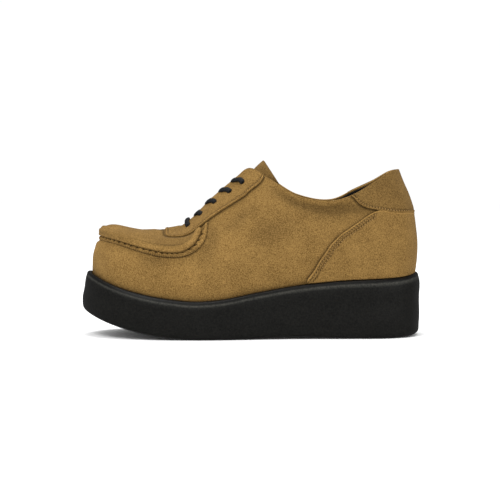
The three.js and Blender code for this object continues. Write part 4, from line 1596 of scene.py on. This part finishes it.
def make_overlays() -> tuple[Overlay, ...]:
    """Lists the layers of the upper.

    Returns:
        The layers.
    """
    eyestay_rows = (Stitching(0.0016, 0.0018, 0.0017),)
    counter_rows = (Stitching(0.0021, 0.0023, 0.0022, 2.0), Stitching(0.0043, 0.0023, 0.0022, 2.1))
    tab_rows = (Stitching(0.0014, 0.0022, 0.0021),)
    return (
        Eyestay(
            "eyestay_suede", "eyestay", EYESTAY_CUTS, thickness=EYESTAY_THICKNESS, radius=0.0008,
            spacing=0.0006, columns=36, rows=eyestay_rows,
        ),
        Apron(
            "apron_suede", "apron", APRON_CUTS, thickness=0.0014, radius=0.0011, spacing=0.0009,
            columns=70, foot=0.45, reach=(-0.012, 1.06),
        ),
        Seam(
            "seam_suede", "apron_seam", SEAM_CUTS, thickness=0, radius=0.0003, spacing=0.00028,
            columns=26, reach=(0, 1.12),
        ),
        Overlay(
            "counter_suede", "counter", counter_cuts(), thickness=0.0013, radius=0.0007, spacing=0.0006,
            columns=90, rows=counter_rows,
        ),
        Overlay(
            "tab_suede", "collar_tab", TAB_CUTS, thickness=0.0018, radius=0.0008, spacing=0.0006,
            columns=50, rows=tab_rows, tone=0.32,
        ),
    )


# The upper and its lining


@dataclass(frozen=True)
class Upper:
    """The suede wall of vamp and quarters, turned in over the topline, and the lining inside it."""

    overlays: tuple[Overlay, ...]
    wall: float = WALL
    lip: float = 0.08  # How far under the mouth its rounded lip starts, in levels
    rows: int = 620
    wall_rows: int = 130
    lip_rows: int = 9
    inner_levels: Cut = (6.9, 6.75)  # Levels of the turned-in strip inside
    foot_levels: float = 0.6  # Levels over which the folds set in
    lining_rows: tuple[int, int] = (260, 60)
    lining_top: float = 6.82  # Level of the lining's highest full point
    lining_lip: float = 0.14  # How far under the mouth the lining's edge lies, in levels
    lining_gap: float = 0.0004  # How far the lining lies inside the wall
    # Distance between the points of an overlay's edge that its contact is measured from
    edge_step: float = 0.0004
    fold_dark: float = 0.0027  # Depth of a trough whose painted shade would be full
    fold_limits: Cut = (-0.15, 0.5)  # How light a ridge's painted highlight and how dark a trough's painted shade may turn
    foot: Cut = (0.55, 0.0022)  # How dark the painted shade is just above the sole's rim, and the height over which that fades
    contact: Hump = Hump(0.7, 0, 0.0012)  # How dark the painted shade is beside a layer's edge
    # How light the painted highlight is on the rolled lip of the topline
    lip_light: float = 0.6

    def edge_distance(self, points: Array) -> Array:
        """Measures how far points of the upper are from the nearest first edge of a stitched layer.

        Args:
            points: The points, as (..., 3).

        Returns:
            The distances.
        """
        layers = [layer for layer in self.overlays if layer.rows]
        lines = [LAST.point(*layer.curve(0).at(layer.spaced(self.edge_step)[0]).T) for layer in layers]
        line = np.vstack(lines)
        tree = KDTree(len(line))
        for i, place in enumerate(line):
            tree.insert(place, i)
        tree.balance()
        flat = points.reshape(-1, 3)
        return np.array([tree.find(place)[2] for place in flat]).reshape(points.shape[:-1])

    def skin(self, material: Material) -> MeshObject:
        """Makes the outer skin with its folds.

        Args:
            material: The suede.

        Returns:
            The new object.
        """
        sections = LAST.spread_sections(self.rows)[:, None]
        lip_start = MOUTH_LEVEL - self.lip
        levels = np.linspace(0, lip_start, self.wall_rows)
        turns = np.linspace(0, np.pi, self.lip_rows)
        lift = [np.zeros(self.wall_rows), self.wall / 2 * (np.cos(turns) - 1), [-self.wall, -self.wall]]
        levels = np.concatenate([levels, lip_start + self.lip * np.sin(turns), self.inner_levels])
        base = LAST.point(sections, levels[None])
        outside = np.arange(len(levels)) < self.wall_rows + 2
        fold = relief(base) * np.clip(levels / self.foot_levels, 0, 1) * outside
        points = base + LAST.normal(sections, levels[None]) * (np.concatenate(lift) + fold)[..., None]
        faces = grid_faces(len(sections), len(levels), wrap=True, flip=True)
        obj = make_object("upper_suede", *PUNCH.punch(points, faces), material)
        # Painted shade in troughs, above the rim and beside the layers' edges, and painted highlights on
        # ridges and the lip
        over_rim = np.clip(base[..., 2] - PLATFORM.rim(base[..., 0]), 0, None)
        foot = self.foot[0] * np.exp(-over_rim / self.foot[1])
        beside = self.contact.over(self.edge_distance(base))
        light = self.lip_light * step_up(np.broadcast_to(levels, fold.shape), lip_start, MOUTH_LEVEL)
        set_painted_shading(obj, np.clip(-fold / self.fold_dark, *self.fold_limits) + foot + beside - light)
        return obj

    def lining(self, material: Material) -> MeshObject:
        """Makes the lining inside the upper.

        Args:
            material: The lining.

        Returns:
            The new object.
        """
        edge_depth = 0.7
        around, up = self.lining_rows
        sections = LAST.spread_sections(around)[:, None]
        levels = np.concatenate([[MOUTH_LEVEL - self.lining_lip], np.linspace(self.lining_top, 0, up)])
        lift = np.full(len(levels), -self.wall - self.lining_gap)
        lift[0] = -self.wall * edge_depth
        points = LAST.skin(sections, levels[None], lift[None])
        faces = grid_faces(len(sections), len(levels), wrap=True, flip=True)
        return make_object("lining", *PUNCH.punch(points, faces), material)

    def build(self, paints: Paints) -> list[Piece]:
        """Makes the skin and the lining."""
        skin = Piece(self.skin(paints[SUEDE]), Slot.SUEDE, ("upper",))
        return [skin, Piece(self.lining(paints[LINING]), Slot.LINING)]


# The sole and the insole


def sole_ring(sections: Array, levels: Array, out: Array | float, height: Profile) -> Array:
    """Places one ring of the sole or the insole.

    Args:
        sections: Section numbers.
        levels: Level of the upper that the ring is measured from.
        out: Distance outward from there, in plan.
        height: Height over the floor from a place along the shoe.

    Returns:
        The points of the ring.
    """
    base = LAST.point(sections, levels)
    plan = base[:, :2] + LAST.plan_normal(sections) * np.broadcast_to(out, sections.shape)[:, None]
    return np.column_stack([plan, height(plan[:, 0])])


@dataclass(frozen=True)
class Sole:
    """The rubber block that the upper stands in, with the tread under it."""

    ledge: float = 0.0045  # How far the rim stands out round the upper
    side_flare: float = 0.001  # How much further the wall stands out below
    toe_flare: float = 0.0024  # The same, added at the toe
    edge: float = 0.004
    band: float = 0.008  # Height of the wall's upright band over the tread
    roll: float = 0.0034
    fullest: float = 0.55  # Where the wall is guided between tread and rim, as a share
    rows: int = 480
    wall_rows: tuple[int, ...] = (7, 6, 5, 6, 6, 5)  # Points between the wall's rings
    # Distance out from the upper, depth under the rim and, last, the seat's floor
    seat: tuple[Cut, Cut, Cut] = ((0.0006, 0), (-0.0002, 0.0008), (-0.001, SEAT_DEPTH))
    under: Cut = (0.004, 0.001)  # How far inside its edge the block's underside reaches
    rim_highlight: Hump = Hump(5.5, 0.0037, 0.0008)  # The painted highlight line along the rim's rounded edge, by its depth under the rim
    # How dark the painted shade is in the rim and the seat where they meet the upper, and over what depth
    seat_dark: Hump = Hump(1.25, 0, 0.0018)
    tread_rows: tuple[int, int] = (320, 90)
    tread_inset: float = 0.0078  # How far the tread lies inside the wall
    border: Cut = (0.005, 0.001)  # Width of the tread's plain border, and of its slope
    bar_pitch: float = 0.008
    bar_slope: float = 3
    bar_depth: float = 0.0012  # How far the tread lies back between two bars

    def flare(self, sections: Array) -> Array:
        """Says how much further the wall stands out below at each section."""
        toeward = np.clip(-LAST.plan_normal(sections)[:, 0], 0, None)
        return self.side_flare + self.toe_flare * toeward**2

    def middle(self, x: Array) -> Array:
        """Gives the height at which the wall is guided between tread and rim."""
        return PLATFORM.tread(x) * (1 - self.fullest) + PLATFORM.rim(x) * self.fullest

    def wall(self, sections: Array) -> Array:
        """Lays the smooth wall through its rings, from the floor's edge to the top of the rim.

        Args:
            sections: Section numbers.

        Returns:
            The points, with shape (sections, rings, 3).
        """
        zero = np.zeros(len(sections))
        rim = LAST.level_over_rim(sections, 0)
        flare = self.flare(sections)
        side = self.ledge + flare
        cut = 1 - math.sqrt(0.5)
        tread, top = PLATFORM.tread, PLATFORM.rim
        rings = (
            (zero, side - self.edge, tread),
            (zero, side - self.edge * cut, lambda x: tread(x) + self.edge * cut),
            (zero, side, lambda x: tread(x) + self.band),
            (rim, self.ledge + flare * self.fullest, self.middle),
            (rim, self.ledge, lambda x: top(x) - self.roll),
            (rim, self.ledge - self.roll * cut, lambda x: top(x) - self.roll * cut),
            (rim, self.ledge - self.roll, top),
        )
        wall = np.stack([sole_ring(sections, *ring) for ring in rings], axis=1)
        gaps = np.linalg.norm(np.diff(wall, axis=1), axis=2)
        slopes = slopes_open(wall, gaps)
        spans = [np.linspace(i, i + 1, n, endpoint=False) for i, n in enumerate(self.wall_rows)]
        last = len(self.wall_rows)
        places = np.concatenate([*spans, [last]])
        low = np.clip(places.astype(int), 0, last - 1)
        f = (places - low)[None, :, None]
        gap = gaps[:, low, None]
        return between(wall[:, low], wall[:, low + 1], slopes[:, low], slopes[:, low + 1], gap, f)

    def block(self, material: Material) -> MeshObject:
        """Makes the block: rounded edge below, plain wall, rounded rim and the seat.

        Args:
            material: The rubber.

        Returns:
            The new object.
        """
        sections = LAST.spread_sections(self.rows)
        zero = np.zeros(len(sections))
        rim = LAST.level_over_rim(sections, 0)
        inner = self.ledge + self.flare(sections) - self.edge
        under = [sole_ring(sections, zero, inner - inset, PLATFORM.tread) for inset in self.under]
        seat = []
        for level, (out, depth) in zip((rim, rim, zero), self.seat, strict=True):
            seat.append(sole_ring(sections, level, out, lambda x, depth=depth: PLATFORM.rim(x) - depth))
        points = np.concatenate([np.stack(under, 1), self.wall(sections), np.stack(seat, 1)], axis=1)
        columns = points.shape[1]
        faces = grid_faces(len(sections), columns, wrap=True, flip=True)
        obj = make_object("sole_block", points, faces, material)
        # Painted shade in the groove at the upper and in the seat, and the painted highlight along the rim
        below = PLATFORM.rim(points[..., 0]) - points[..., 2]
        in_seat = self.seat_dark.height * (np.arange(columns) >= columns - len(self.seat))
        set_painted_shading(obj, np.maximum(self.seat_dark.over(below), in_seat) - self.rim_highlight.over(below))
        return obj

    def tread(self, material: Material) -> MeshObject:
        """Makes the underside: shallow bars across the sole inside a plain border.

        Args:
            material: The rubber.

        Returns:
            The new object.
        """
        along, across = self.tread_rows
        sections = np.linspace(0, TIP, along)
        inset = self.ledge + self.flare(sections) - self.tread_inset
        zero = np.zeros(len(sections))
        outer = sole_ring(sections, zero, inset, PLATFORM.tread)
        inner = sole_ring(ROUND - sections, zero, inset, PLATFORM.tread)
        shares = np.linspace(0, 1, across)[None, :, None]
        points = outer[:, None] * (1 - shares) + inner[:, None] * shares
        width = np.linalg.norm(inner - outer, axis=1)[:, None]
        edge = np.minimum(shares[..., 0], 1 - shares[..., 0]) * width
        inside = np.clip((edge - self.border[0]) / self.border[1], 0, 1)
        bars = np.clip(np.sin(points[..., 0] * FULL_TURN / self.bar_pitch) * self.bar_slope, 0, 1)
        points[..., 2] = PLATFORM.tread(points[..., 0]) + self.bar_depth * inside * bars
        faces = grid_faces(*points.shape[:2], flip=True)
        return make_object("sole_tread", points, faces, material)

    def build(self, paints: Paints) -> list[Piece]:
        """Makes the block and the tread."""
        block = Piece(self.block(paints[RUBBER]), Slot.RUBBER, ("sole",))
        return [block, Piece(self.tread(paints[RUBBER]), Slot.RUBBER)]

    def shift(self, block: MeshObject) -> Array:
        """Measures from the last's own frame to the part's frame, by the sole's solid.

        Args:
            block: The block's object.

        Returns:
            The way to move every piece.
        """
        low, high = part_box("sole")
        points = np.array([v.co for v in block.data.vertices])
        shift = (np.array(low) + np.array(high) - points.min(0) - points.max(0)) / 2
        shift[2] = 0
        return shift


@dataclass(frozen=True)
class Insole:
    """The footbed, with a rounded edge."""

    thickness: float = 0.004
    play: float = 0.0002  # Its room beside the upper's wall
    radius: float = 0.0015  # Radius of its upper edge
    rows: int = 200
    edge_rows: int = 5  # Points round its edge's radius
    # Points from its edge to its middle, and the share of the first
    middle_rows: tuple[int, float] = (12, 0.1)

    def build(self, paints: Paints) -> list[Piece]:
        """Makes the insole.

        Args:
            paints: The materials.

        Returns:
            The one piece.
        """
        sections = LAST.spread_sections(self.rows)
        inset = -(WALL + GAP + self.play)
        floor = GAP - SEAT_DEPTH
        edge = [(inset, floor)]
        for turn in np.linspace(0, QUARTER_TURN, self.edge_rows):
            drop = self.radius * (1 - math.sin(turn))
            edge.append((inset - self.radius * (1 - math.cos(turn)), floor + self.thickness - drop))
        zero = np.zeros(len(sections))
        rings = [
            sole_ring(sections, zero, out, lambda x, high=high: PLATFORM.rim(x) + high)
            for out, high in edge
        ]
        top = rings[-1]
        middle = (top + top[(len(top) - np.arange(len(top))) % len(top)]) / 2
        count, first = self.middle_rows
        rings += [top * (1 - share) + middle * share for share in np.linspace(first, 1, count)]
        points = np.stack(rings, axis=1)
        faces = grid_faces(len(sections), points.shape[1], wrap=True, flip=True)
        return [Piece(make_object("insole_pad", points, faces, paints[LINING]), Slot.LINING, ("insole",))]


# The tongue


@dataclass(frozen=True)
class Tongue:
    """The arched tongue, suede outside and lined inside."""

    thickness: float = 0.003
    width: float = 0.036
    shift: float = 0.008  # How far it sits to the inner side, as a share of the width over the ball
    end: float = 0.06  # How far from its upper end its edge rounds over, counted in points of its crown
    end_rows: int = 6
    edge_turn: float = 1.45  # Angle from the crown at which its side edges round over
    lean: float = 0.86  # How upright its upper end's sides are
    face_rows: tuple[int, int] = (120, 61)
    back_rows: tuple[int, int] = (60, 41)
    dark: Cut = (0.3, 0.3)  # How dark the throat's painted shade is on its crown, and how much more at its sides

    def points(self, rows: Array, turns: Array, inset: Array) -> Array:
        """Places points of the tongue.

        Args:
            rows: Positions along its crown.
            turns: Angles round its arch, 0 on the crown.
            inset: Depth under its upper face.

        Returns:
            The points, with shape (rows, turns, 3).
        """
        step, bent = 0.05, 2
        crown = Curve(np.array(TONGUE_CROWN) * np.array([SHOE_LENGTH, INSTEP_HEIGHT, self.width]))
        x, z, drop = crown.at(rows).T
        ahead = unit((crown.at(rows + step) - crown.at(rows - step))[:, :2])
        depth = (drop[:, None] - inset) * (1 - np.cos(turns))
        last = len(TONGUE_CROWN) - 1
        lean = np.interp(rows, (0, last - bent, last), (1, 1, self.lean))[:, None]
        y = self.shift * BALL_WIDTH + (self.width / 2 - inset) * np.sin(turns)
        across = x[:, None] + ahead[:, 1:] * (inset + depth * lean)
        return np.stack([across, y, z[:, None] - ahead[:, :1] * (inset + depth / lean**0.5)], axis=-1)

    def grid(self, count: tuple[int, int]) -> tuple[Array, Array, Array]:
        """Spaces points over the tongue.

        Args:
            count: Number of points along and across.

        Returns:
            Positions along the crown, angles round the arch, and how far each point is rounded over.
        """
        last, gap = len(TONGUE_CROWN) - 1, 0.01
        plain = np.linspace(0, last - self.end, count[0])
        rows = np.concatenate([plain, np.linspace(last - self.end + gap, last, self.end_rows)])
        turns = QUARTER_TURN * np.linspace(-1, 1, count[1])
        edge = np.clip((np.abs(turns) - self.edge_turn) / (QUARTER_TURN - self.edge_turn), 0, 1)
        end = np.clip((rows - last + self.end) / self.end, 0, 1)
        return rows, turns, np.maximum(edge[None] ** 2, end[:, None] ** 2)

    def build(self, paints: Paints) -> list[Piece]:
        """Makes the tongue's upper face and its lining.

        Args:
            paints: The materials.

        Returns:
            The pieces.
        """
        rows, turns, rounded = self.grid(self.face_rows)
        points = self.points(rows, turns, self.thickness / 2 * rounded)
        face = make_object("tongue_suede", points, grid_faces(len(rows), len(turns)), paints[SUEDE])
        # Painted shade of the throat, deeper towards the sides
        shade = self.dark[0] + self.dark[1] * (np.abs(turns) / turns[-1]) ** 2
        set_painted_shading(face, np.broadcast_to(shade, points.shape[:2]))
        rows, turns, rounded = self.grid(self.back_rows)
        points = self.points(rows, turns, self.thickness * (1 - rounded / 2))
        faces = grid_faces(len(rows), len(turns), flip=True)
        back = make_object("tongue_lining", points, faces, paints[LINING])
        return [Piece(face, Slot.SUEDE, ("tongue",)), Piece(back, Slot.LINING)]


# The lace


@dataclass(frozen=True)
class Crossing:
    """One strand's way over the throat."""

    rise: float  # How far toeward of its eyelet it comes up from under the edge, in sections
    edge: float  # Section where it passes over the other edge
    # Its heights over the throat's edges at three shares of the way, in lace diameters, for the strand
    # that starts on the outer side and the one that starts on the inner side
    heights: tuple[Triple, Triple]


CROSS_BELOW = (-1.1, -1.15, -0.1)
CROSS_ABOVE = (-0.8, -0.3, 0.05)
CROSSINGS = (
    Crossing(0.08, 9.58, (CROSS_BELOW, CROSS_ABOVE)),
    Crossing(0.14, 9.16, (CROSS_ABOVE, CROSS_BELOW)),
    Crossing(0.14, 8.66, (CROSS_BELOW, CROSS_ABOVE)),
    Crossing(0.24, 8.19, (CROSS_ABOVE, CROSS_BELOW)),
)


def throat_point(near: float, share: float, height: float) -> Array:
    """Finds a point in the throat between its two edges.

    Args:
        near: Section of the near edge.
        share: Share of the way to the far edge.
        height: Height over the two edges.

    Returns:
        The point.
    """
    sections = np.array([near, ROUND - near])
    levels = np.full(2, float(MOUTH_LEVEL))
    ends = LAST.point(sections, levels)
    up = LAST.normal(sections, levels).sum(axis=0)
    up[1] = 0
    return ends[0] + share * (ends[1] - ends[0]) + height * unit(up)


@dataclass(frozen=True)
class Lace:
    """The woven lace: a straight bar, four crossings and two hidden ends, as one oval cord."""

    diameter: float = 0.0034  # Its diameter when round, which its heights over the throat are counted in
    half_width: float = 0.0021
    half_thickness: float = 0.0011
    gap: float = 0.0005  # Its room under the upper
    # Shares of the way over the throat at which its height is given
    throat_shares: Triple = (0.25, 0.5, 0.8)
    bar_inset: float = 0.12  # How far from the mouth the bar passes the edge, in levels
    edge_inset: float = 0.16  # The same of a crossing
    edge_press: float = 0.0008  # How far a crossing is pressed in there
    landing: Cut = (0.18, 0.25)  # How far before an eyelet it lands, in levels, and as a share of the way
    landing_press: float = 0.0003  # How far it is pressed in there
    # For the two points where it comes up under the facing: the share of its rise, and the level over its
    # eyelet and under the mouth
    rises: tuple[Cut, Cut] = ((0.3, 0.2), (0.7, 0.15))
    # How far toeward of and under the last eyelet its hidden ends run
    tails: tuple[Cut, Cut] = ((0.08, 0.2), (0.2, 0.6))
    tail_gap: float = 0.001  # How much deeper they lie
    spacing: float = 0.0004
    sides: int = 24
    strands: int = 4  # Number of its strands each way
    strand_pitch: float = 0.0021  # Length over which a strand runs round once
    core: float = 0.96  # Its size without the weave, as a share
    weave: float = 0.05  # Height of its weave, as a share
    weave_level: float = 0.5  # Height of the weave under which its gaps get painted shade

    @property
    def over(self) -> float:
        """Gives the height of its middle where it lies on the eyestay."""
        return LAYER_GAP + EYESTAY_THICKNESS + self.half_thickness

    @property
    def under(self) -> float:
        """Gives the depth of its middle where it runs under the upper."""
        return WALL + self.gap + self.half_thickness

    def half(self, inner: bool) -> list[Array]:
        """Lists the points of one half of the lace, from the bar to its hidden end.

        Args:
            inner: Whether it starts on the inner side.

        Returns:
            The points.
        """
        side = inner

        def at(section: float) -> float:
            """Turns an outer section into the one of the side that the lace is on."""
            return ROUND - section if side else section

        def skin(section: float, level: float, lift: float) -> Array:
            """Finds a point over the last on that side."""
            return LAST.skin(np.array([at(section)]), np.array([level]), lift)[0]

        def down(section: float, level: float) -> list[Array]:
            """Leads the lace down through an eyelet."""
            lifts = (self.over - self.half_thickness, LAYER_GAP, -WALL)
            return [skin(section, level, lift) for lift in lifts]

        bar, bar_level = EYELETS[0]
        landing, landing_share = self.landing
        points = [
            skin(bar, MOUTH_LEVEL - self.bar_inset, self.over),
            skin(bar, bar_level + landing, self.over),
            *down(bar, bar_level),
        ]
        (low_share, low_level), (high_share, high_level) = self.rises
        for row, crossing in enumerate(CROSSINGS):
            (start, start_level), (end, end_level) = EYELETS[row], EYELETS[row + 1]
            points += [
                skin(start + crossing.rise * low_share, start_level + low_level, -self.under),
                skin(start + crossing.rise * high_share, MOUTH_LEVEL - high_level, -self.under),
            ]
            low = start + crossing.rise
            for share, high in zip(self.throat_shares, crossing.heights[inner], strict=True):
                place = low + share * (crossing.edge - low)
                points.append(throat_point(at(place), share, high * self.diameter))
            side = not side
            landed = end + landing_share * (crossing.edge - end)
            points += [
                skin(crossing.edge, MOUTH_LEVEL - self.edge_inset, self.over - self.edge_press),
                skin(landed, end_level + landing, self.over - self.landing_press),
                *down(end, end_level),
            ]
        top, top_level = EYELETS[-1]
        hidden = -self.under - self.tail_gap
        return points + [skin(top - back, top_level - drop, hidden) for back, drop in self.tails]

    def route(self) -> Array:
        """Lists the points that the lace runs through, from one hidden end to the other."""
        middle = throat_point(EYELETS[0][0], 0.5, self.over)
        return np.array([*self.half(False)[::-1], middle, *self.half(True)])

    def build(self, paints: Paints) -> list[Piece]:
        """Makes the cord along its route.

        Args:
            paints: The materials.

        Returns:
            The one piece.
        """
        route = self.route()
        curve = Curve(route, np.sqrt(np.linalg.norm(np.diff(route, axis=0), axis=1)))
        fine = curve.at(np.linspace(0, len(route) - 1, 12000))
        length = run_length(fine)
        places = np.linspace(0, length[-1], round(length[-1] / self.spacing))
        centre = np.column_stack([np.interp(places, length, fine[:, axis]) for axis in range(3)])
        ahead = unit(np.gradient(centre, axis=0))
        ends = np.array([EYELETS[0], EYELETS[-1]])
        first, last = LAST.point(ends[:, 0], ends[:, 1])
        throat = (last - first) * np.array([1, 0, 1])
        side = unit(throat - ahead * (ahead @ throat)[:, None])
        up = np.cross(ahead, side)
        turns = np.linspace(0, FULL_TURN, self.sides + 1)
        advance = places[:, None] * FULL_TURN / self.strand_pitch
        spin = self.strands * turns
        weave = np.maximum(np.cos(spin + advance), np.cos(spin - advance))
        wide = np.cos(turns)[None, :, None] * side[:, None] * self.half_width
        thick = np.sin(turns)[None, :, None] * up[:, None] * self.half_thickness
        points = centre[:, None] + (wide + thick) * (self.core + self.weave * weave)[..., None]
        obj = make_object("lace_cord", points, grid_faces(len(places), self.sides + 1), paints[LACE_YARN])
        # Painted shade in the gaps between the strands
        set_painted_shading(obj, np.clip(self.weave_level - weave, 0, 1))
        LOG.info("lace_cord: %.3f m long", length[-1])
        solids = ("lace_bar", *(f"lace_cross_{row}" for row in range(1, len(EYELETS))))
        return [Piece(obj, Slot.LACE, solids)]


# The studio


@dataclass(frozen=True)
class Lamp:
    """A soft square light that points at the shoe."""

    name: str
    place: Triple
    size: float
    power: float  # Its power in watts


@dataclass(frozen=True)
class Studio:
    """The white room, its lights and the camera where the photograph was taken from."""

    distance: float = 1.4
    elevation: float = 3  # Its height over the shoe's level, in degrees
    view_width: float = 0.39
    target_height: float = 0.0658
    sensor: float = 36  # Width of its sensor in millimetres
    near: float = 0.1  # Distance from which it sees anything
    lamps: tuple[Lamp, ...] = (
        Lamp("key", (-0.7, -1.1, 1.5), 0.8, 16),
        Lamp("fill", (1.3, -1.1, 0.7), 1.2, 4),
        Lamp("top", (0.0, 0.2, 1.6), 0.9, 14),
    )
    lamp_height: float = 0.05  # Height of the point that the lights look at
    room_light: float = 1.02
    mirrored_light: float = 0.2  # The same as gloss mirrors them
    floor_white: float = 0.97
    floor_half: float = 4.0

    def set_camera(self, shift: Array) -> None:
        """Places the camera.

        Args:
            shift: From the last's own frame to the part's frame.
        """
        elevation = math.radians(self.elevation)
        target = Vector(shift) + Vector((0, 0, self.target_height))
        back = Vector((0, -math.cos(elevation), math.sin(elevation)))
        data = bpy.data.cameras.new("camera")
        data.sensor_width = self.sensor
        data.lens = data.sensor_width * self.distance / self.view_width
        data.clip_start = self.near
        camera = bpy.data.objects.new("camera", data)
        camera.location = target + back * self.distance
        camera.rotation_mode = "QUATERNION"
        camera.rotation_quaternion = (-back).to_track_quat("-Z", "Y")
        bpy.context.scene.collection.objects.link(camera)
        bpy.context.scene.camera = camera

    def set_room(self) -> None:
        """Sets the white surroundings, which gloss mirrors only faintly."""
        world = bpy.data.worlds.new("studio")
        bpy.context.scene.world = world
        world.use_nodes = True
        light = world.node_tree.nodes["Background"]
        light.inputs["Color"].default_value = (1, 1, 1, 1)
        nodes = Nodes(world.node_tree)
        glossy = nodes.add("ShaderNodeLightPath").outputs["Is Glossy Ray"]
        dimmed = nodes.maths(Sum.TIMES, glossy, self.room_light - self.mirrored_light)
        nodes.join(nodes.maths(Sum.MINUS, self.room_light, dimmed), light.inputs["Strength"])

    def set_lamps(self) -> None:
        """Sets the soft lights."""
        target = Vector((0, 0, self.lamp_height))
        for lamp in self.lamps:
            data = bpy.data.lights.new(lamp.name, "AREA")
            data.size = lamp.size
            data.energy = lamp.power
            obj = bpy.data.objects.new(lamp.name, data)
            obj.location = lamp.place
            obj.rotation_mode = "QUATERNION"
            obj.rotation_quaternion = (target - obj.location).to_track_quat("-Z", "Y")
            bpy.context.scene.collection.objects.link(obj)

    def set_floor(self) -> None:
        """Lays the matt white floor."""
        paint = bpy.data.materials.new("floor")
        paint.use_nodes = True
        shader = paint.node_tree.nodes["Principled BSDF"]
        shader.inputs["Base Color"].default_value = (*[self.floor_white] * 3, 1)
        shader.inputs["Roughness"].default_value = 1
        shader.inputs["Specular IOR Level"].default_value = 0
        signs = ((-1, -1, 0), (1, -1, 0), (1, 1, 0), (-1, 1, 0))
        floor = make_object("floor", np.array(signs) * self.floor_half, np.array([[0, 1, 2, 3]]), paint)
        floor.visible_glossy = False
        floor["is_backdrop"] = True

    def build(self, shift: Array) -> None:
        """Sets up everything round the shoe.

        Args:
            shift: From the last's own frame to the part's frame.
        """
        self.set_camera(shift)
        self.set_room()
        self.set_lamps()
        self.set_floor()
        bpy.context.scene.view_settings.view_transform = "Standard"


def write_size(label: str, sizes: dict[str, list[float]]) -> None:
    """Notes the shown object's lowest and highest corner.

    Args:
        label: When it was measured.
        sizes: The notes so far, which this adds to.
    """
    low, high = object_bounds()
    sizes[label] = [round(v, 5) for v in (*low, *high)]


def main() -> None:
    """Builds the dressed shoe and the studio round it."""
    logging.basicConfig(level=logging.INFO)
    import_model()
    sizes: dict[str, list[float]] = {}
    write_size("loaded", sizes)
    paints = paint_all()
    sole = Sole()
    pieces = sole.build(paints)
    shift = sole.shift(pieces[0].obj)
    overlays = make_overlays()
    for assembly in (Upper(overlays), Insole(), Tongue(), PUNCH, Lace(), *overlays):
        pieces += assembly.build(paints)
    for piece in pieces:
        piece.fasten(shift)
        LOG.info("%s: %d faces", piece.obj.name, len(piece.obj.data.polygons))
    Studio().build(shift)
    write_size("dressed", sizes)


if __name__ == "__main__":
    main()
